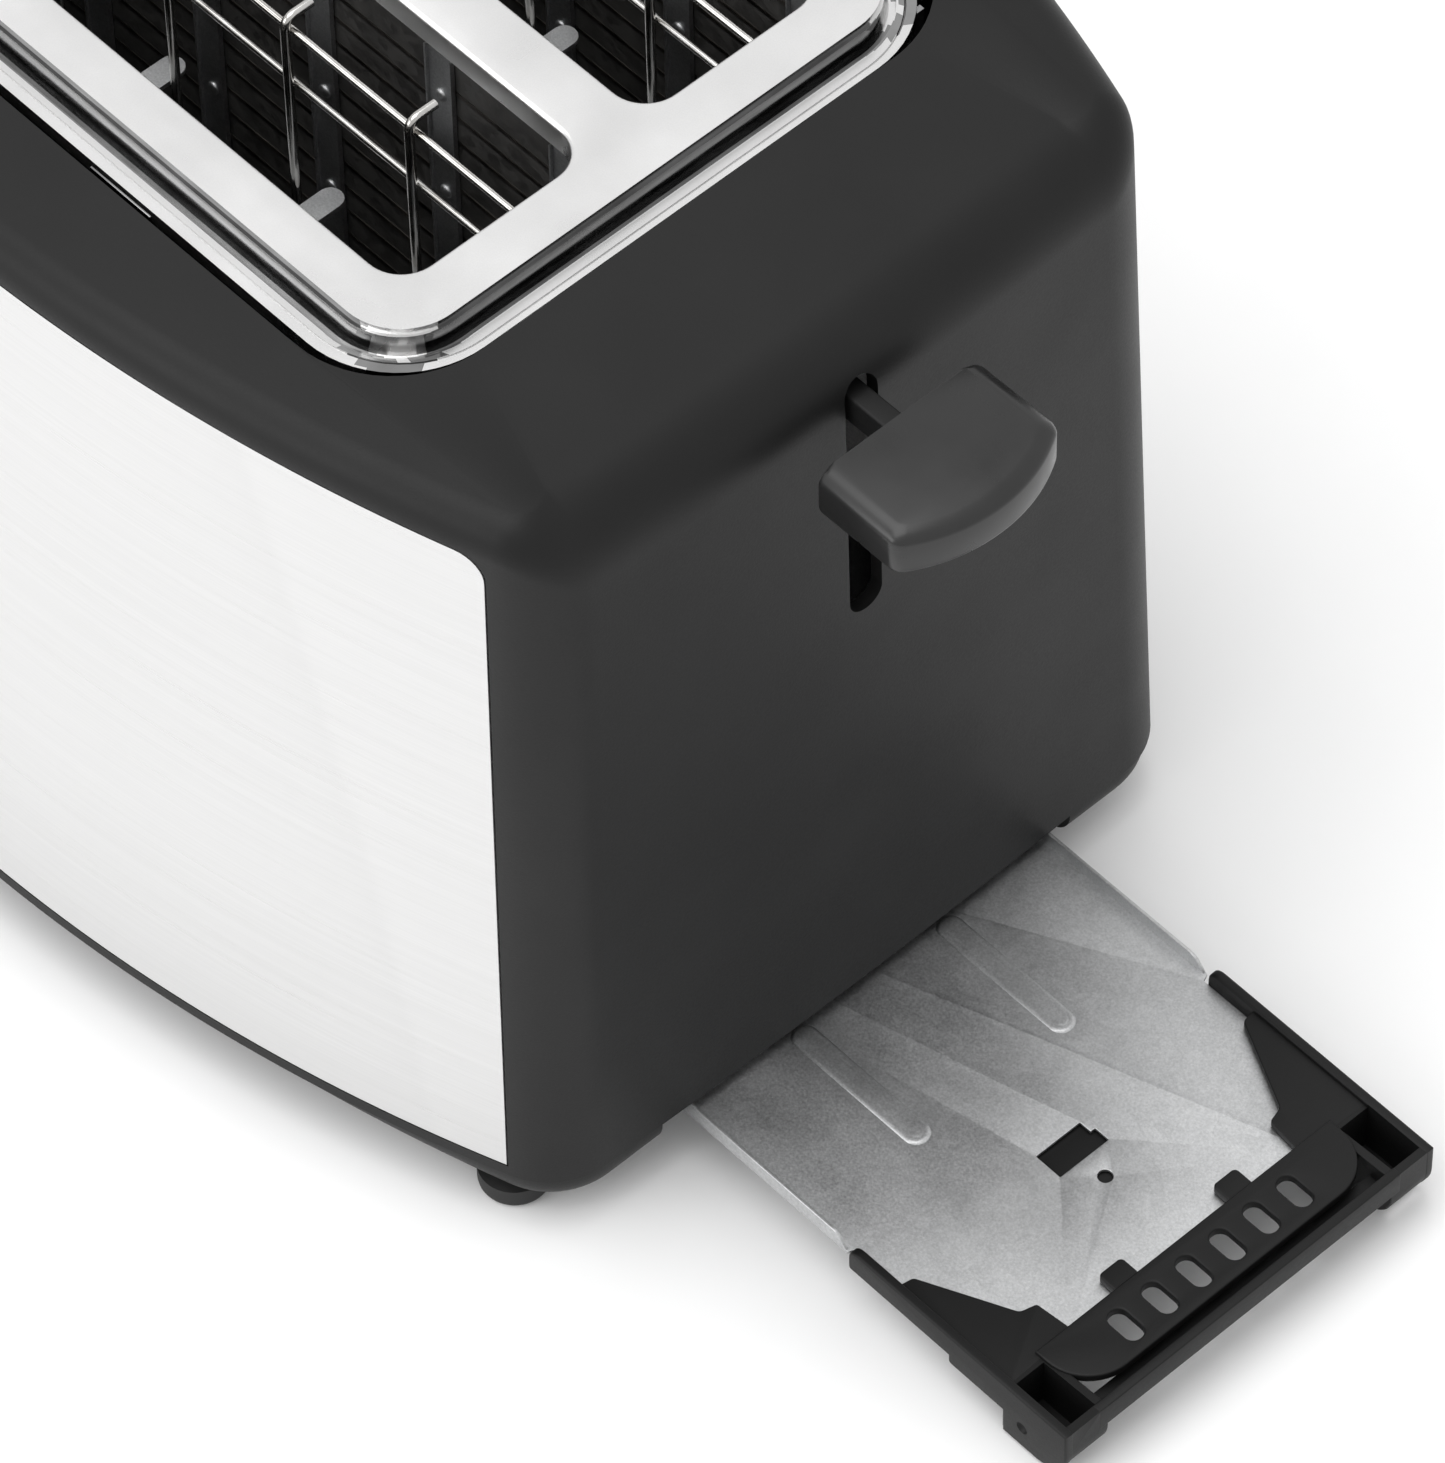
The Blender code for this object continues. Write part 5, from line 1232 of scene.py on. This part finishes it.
def dial():
    """Dial with a skirt and a ring of finger grooves, and a printed pointer line."""
    radius, top = DIAL_RADIUS, DIAL_TOP
    profile = [(0, top), (radius - 3.4, top - 0.1), (radius - 2.6, top - 0.4), (radius - 2.1, top - 0.9)]
    profile += [(radius - 1.8, top - 1.6), (radius - 1.0, 3.9), (radius - 0.7, 3.5), (radius - 0.2, 3.3)]
    profile += [(radius, 3.0), (radius, 1.2), (0, 1.2)]
    cap = turned("dial_cap", [(r * MM, z * MM) for r, z in profile], 72)
    grooves = []
    count = 24
    for i in range(count):
        angle = math.tau * i / count
        place = ((radius - 0.95) * MM * math.cos(angle), (radius - 0.95) * MM * math.sin(angle))
        groove = [(0, top + 1), (0.5, top + 1), (0.5, 4.5), (0, 4.3)]
        grooves.append(turned_at(f"groove_{i}", groove, place, 12))
    bore_end = top - 2.2
    bore = turned_at("dial_bore", [(0, bore_end), (3.3, bore_end), (3.3, -1), (0, -1)], (0, 0))
    cut(cap, gather("grooves", grooves), bore)
    z = centre_z("browning_dial")
    dress(in_control_frame(cap, z), "gloss_plastic", "dial", "gloss_plastic", "browning_dial")
    line_low, line_high = (-0.5 * MM, 3.5 * MM, (top - 0.3) * MM), (0.5 * MM, 8.6 * MM, (top + 0.35) * MM)
    line = block("dial_pointer", line_low, line_high, 0.15 * MM)
    dress(in_control_frame(line, z), "white_print", "dial", "gloss_plastic")


def dial_scale():
    """Raised ticks on the housing round the dial."""
    z = centre_z("browning_dial")
    start = (DIAL_RADIUS + 2.2) * MM
    ticks = []
    for i in range(7):
        angle = math.radians(-135 + 45 * i)
        length = (1.6 if i % 3 else 2.4) * MM
        tick = block(f"tick_{i}", (-0.35 * MM, start, -0.8 * MM), (0.35 * MM, start + length, 0.35 * MM))
        tick.data.transform(Matrix.Rotation(-angle, 4, "Z"))
        ticks.append(tick)
    dress(in_control_frame(gather("dial_ticks", ticks), z), "white_print", "body", "black_plastic")


def buttons():
    for node in BUTTONS:
        z = centre_z(node)
        cap = slab("cap_" + node, [rounded_rectangle(*BUTTON_HALF, BUTTON_CORNER, (0, z))],
                   -6 * MM, 2.6 * MM, "XZ", rounding=0.6 * MM)
        round_stem = rounded_rectangle(2 * MM, 2 * MM, 1.99 * MM, (0, z))
        stem = slab("stem_" + node, [round_stem], -14 * MM, -5.5 * MM, "XZ")
        join(cap, stem)
        cap.data.transform(control_matrix())
        dress(cap, "gloss_plastic", node.replace("button_", ""), "gloss_plastic", node)


def cord_gland():
    """Inlet bush with a stepped collar and a recessed round mouth."""
    end = SHELL_LOW.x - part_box("cord_gland")[0].x
    face = (HALF_LENGTH + END_BOW + end) / MM
    skin = (HALF_LENGTH + END_BOW) / MM
    profile = [(0, face - 2.5), (3.6, face - 2.5), (3.6, face - 0.4), (4.0, face), (7.0, face)]
    profile += [(7.5, face - 0.2), (7.9, face - 0.9), (9.2, face - 1.3), (9.6, face - 1.8)]
    profile += [(9.6, skin + 0.3), (6.8, skin + 0.3), (6.8, skin - 9), (0, skin - 9)]
    gland = turned("gland", [(r * MM, z * MM) for r, z in profile], 56)
    place = Matrix.Translation((0, 0, centre_z("cord_gland"))) @ Matrix.Rotation(-math.pi / 2, 4, "Y")
    gland.data.transform(place)
    dress(gland, "rubber", "body", "rubber", "cord_gland")


def frame_finishes():
    """CAD nodes that still show, inside and under the toaster, take the finish of their slot."""
    slots = {row["node"]: row["material_slot"] for row in frame["record"]["subparts"]}
    for name, node in frame["nodes"].items():
        for place in node.material_slots:
            place.material = FINISHES[slots[name]]


# Studio


def floor():
    bm = bmesh.new()
    bmesh.ops.create_grid(bm, x_segments=1, y_segments=1, size=6)
    ground = object_from("floor", bm)
    ground.data.materials.append(FINISHES["floor_finish"])


def area_light(name, place, target, size, power):
    data = bpy.data.lights.new(name, "AREA")
    data.shape = "RECTANGLE"
    data.size, data.size_y = size
    data.energy = power
    light = bpy.data.objects.new(name, data)
    bpy.context.scene.collection.objects.link(light)
    light.location = place
    light.rotation_euler = (Vector(target) - Vector(place)).to_track_quat("-Z", "Y").to_euler()


def studio():
    world = bpy.data.worlds.new("studio")
    world.use_nodes = True
    world.node_tree.nodes["Background"].inputs["Color"].default_value = (1, 1, 1, 1)
    world.node_tree.nodes["Background"].inputs["Strength"].default_value = 0.9
    bpy.context.scene.world = world
    bpy.context.scene.view_settings.view_transform = "Standard"
    target = (0, 0, 0.08)
    area_light("soft_top", (-0.2, -0.3, 1.6), target, (1.4, 1.4), 14)
    area_light("soft_side", (-0.5, -1.6, 0.9), target, (1.2, 0.9), 9)


def camera():
    flat = math.cos(ELEVATION)
    back = Vector((math.sin(AZIMUTH) * flat, -math.cos(AZIMUTH) * flat, math.sin(ELEVATION)))
    level = Vector((math.cos(AZIMUTH), math.sin(AZIMUTH), 0))
    above = back.cross(level)
    right = level * math.cos(ROLL) + above * math.sin(ROLL)
    up = above * math.cos(ROLL) - level * math.sin(ROLL)
    data = bpy.data.cameras.new("camera")
    data.lens, data.sensor_width = LENS, SENSOR
    data.clip_start, data.clip_end = 0.05, 20
    item = bpy.data.objects.new("camera", data)
    bpy.context.scene.collection.objects.link(item)
    place = AIM + back * DISTANCE - right * SIDESTEP[0] - up * SIDESTEP[1]
    axes = Matrix((right, up, back)).transposed()
    item.matrix_world = Matrix.Translation(place) @ axes.to_4x4()
    bpy.context.scene.camera = item


camera()
studio()
floor()
frame_finishes()
housing()
side_panels()
top_plate()
gap_clips()
base()
feet()
guards()
heater_windings()
knob()
lever_arm()
tray_sheet()
tray_front()
latch_plate()
dial()
dial_scale()
buttons()
cord_gland()

bpy.context.view_layer.update()
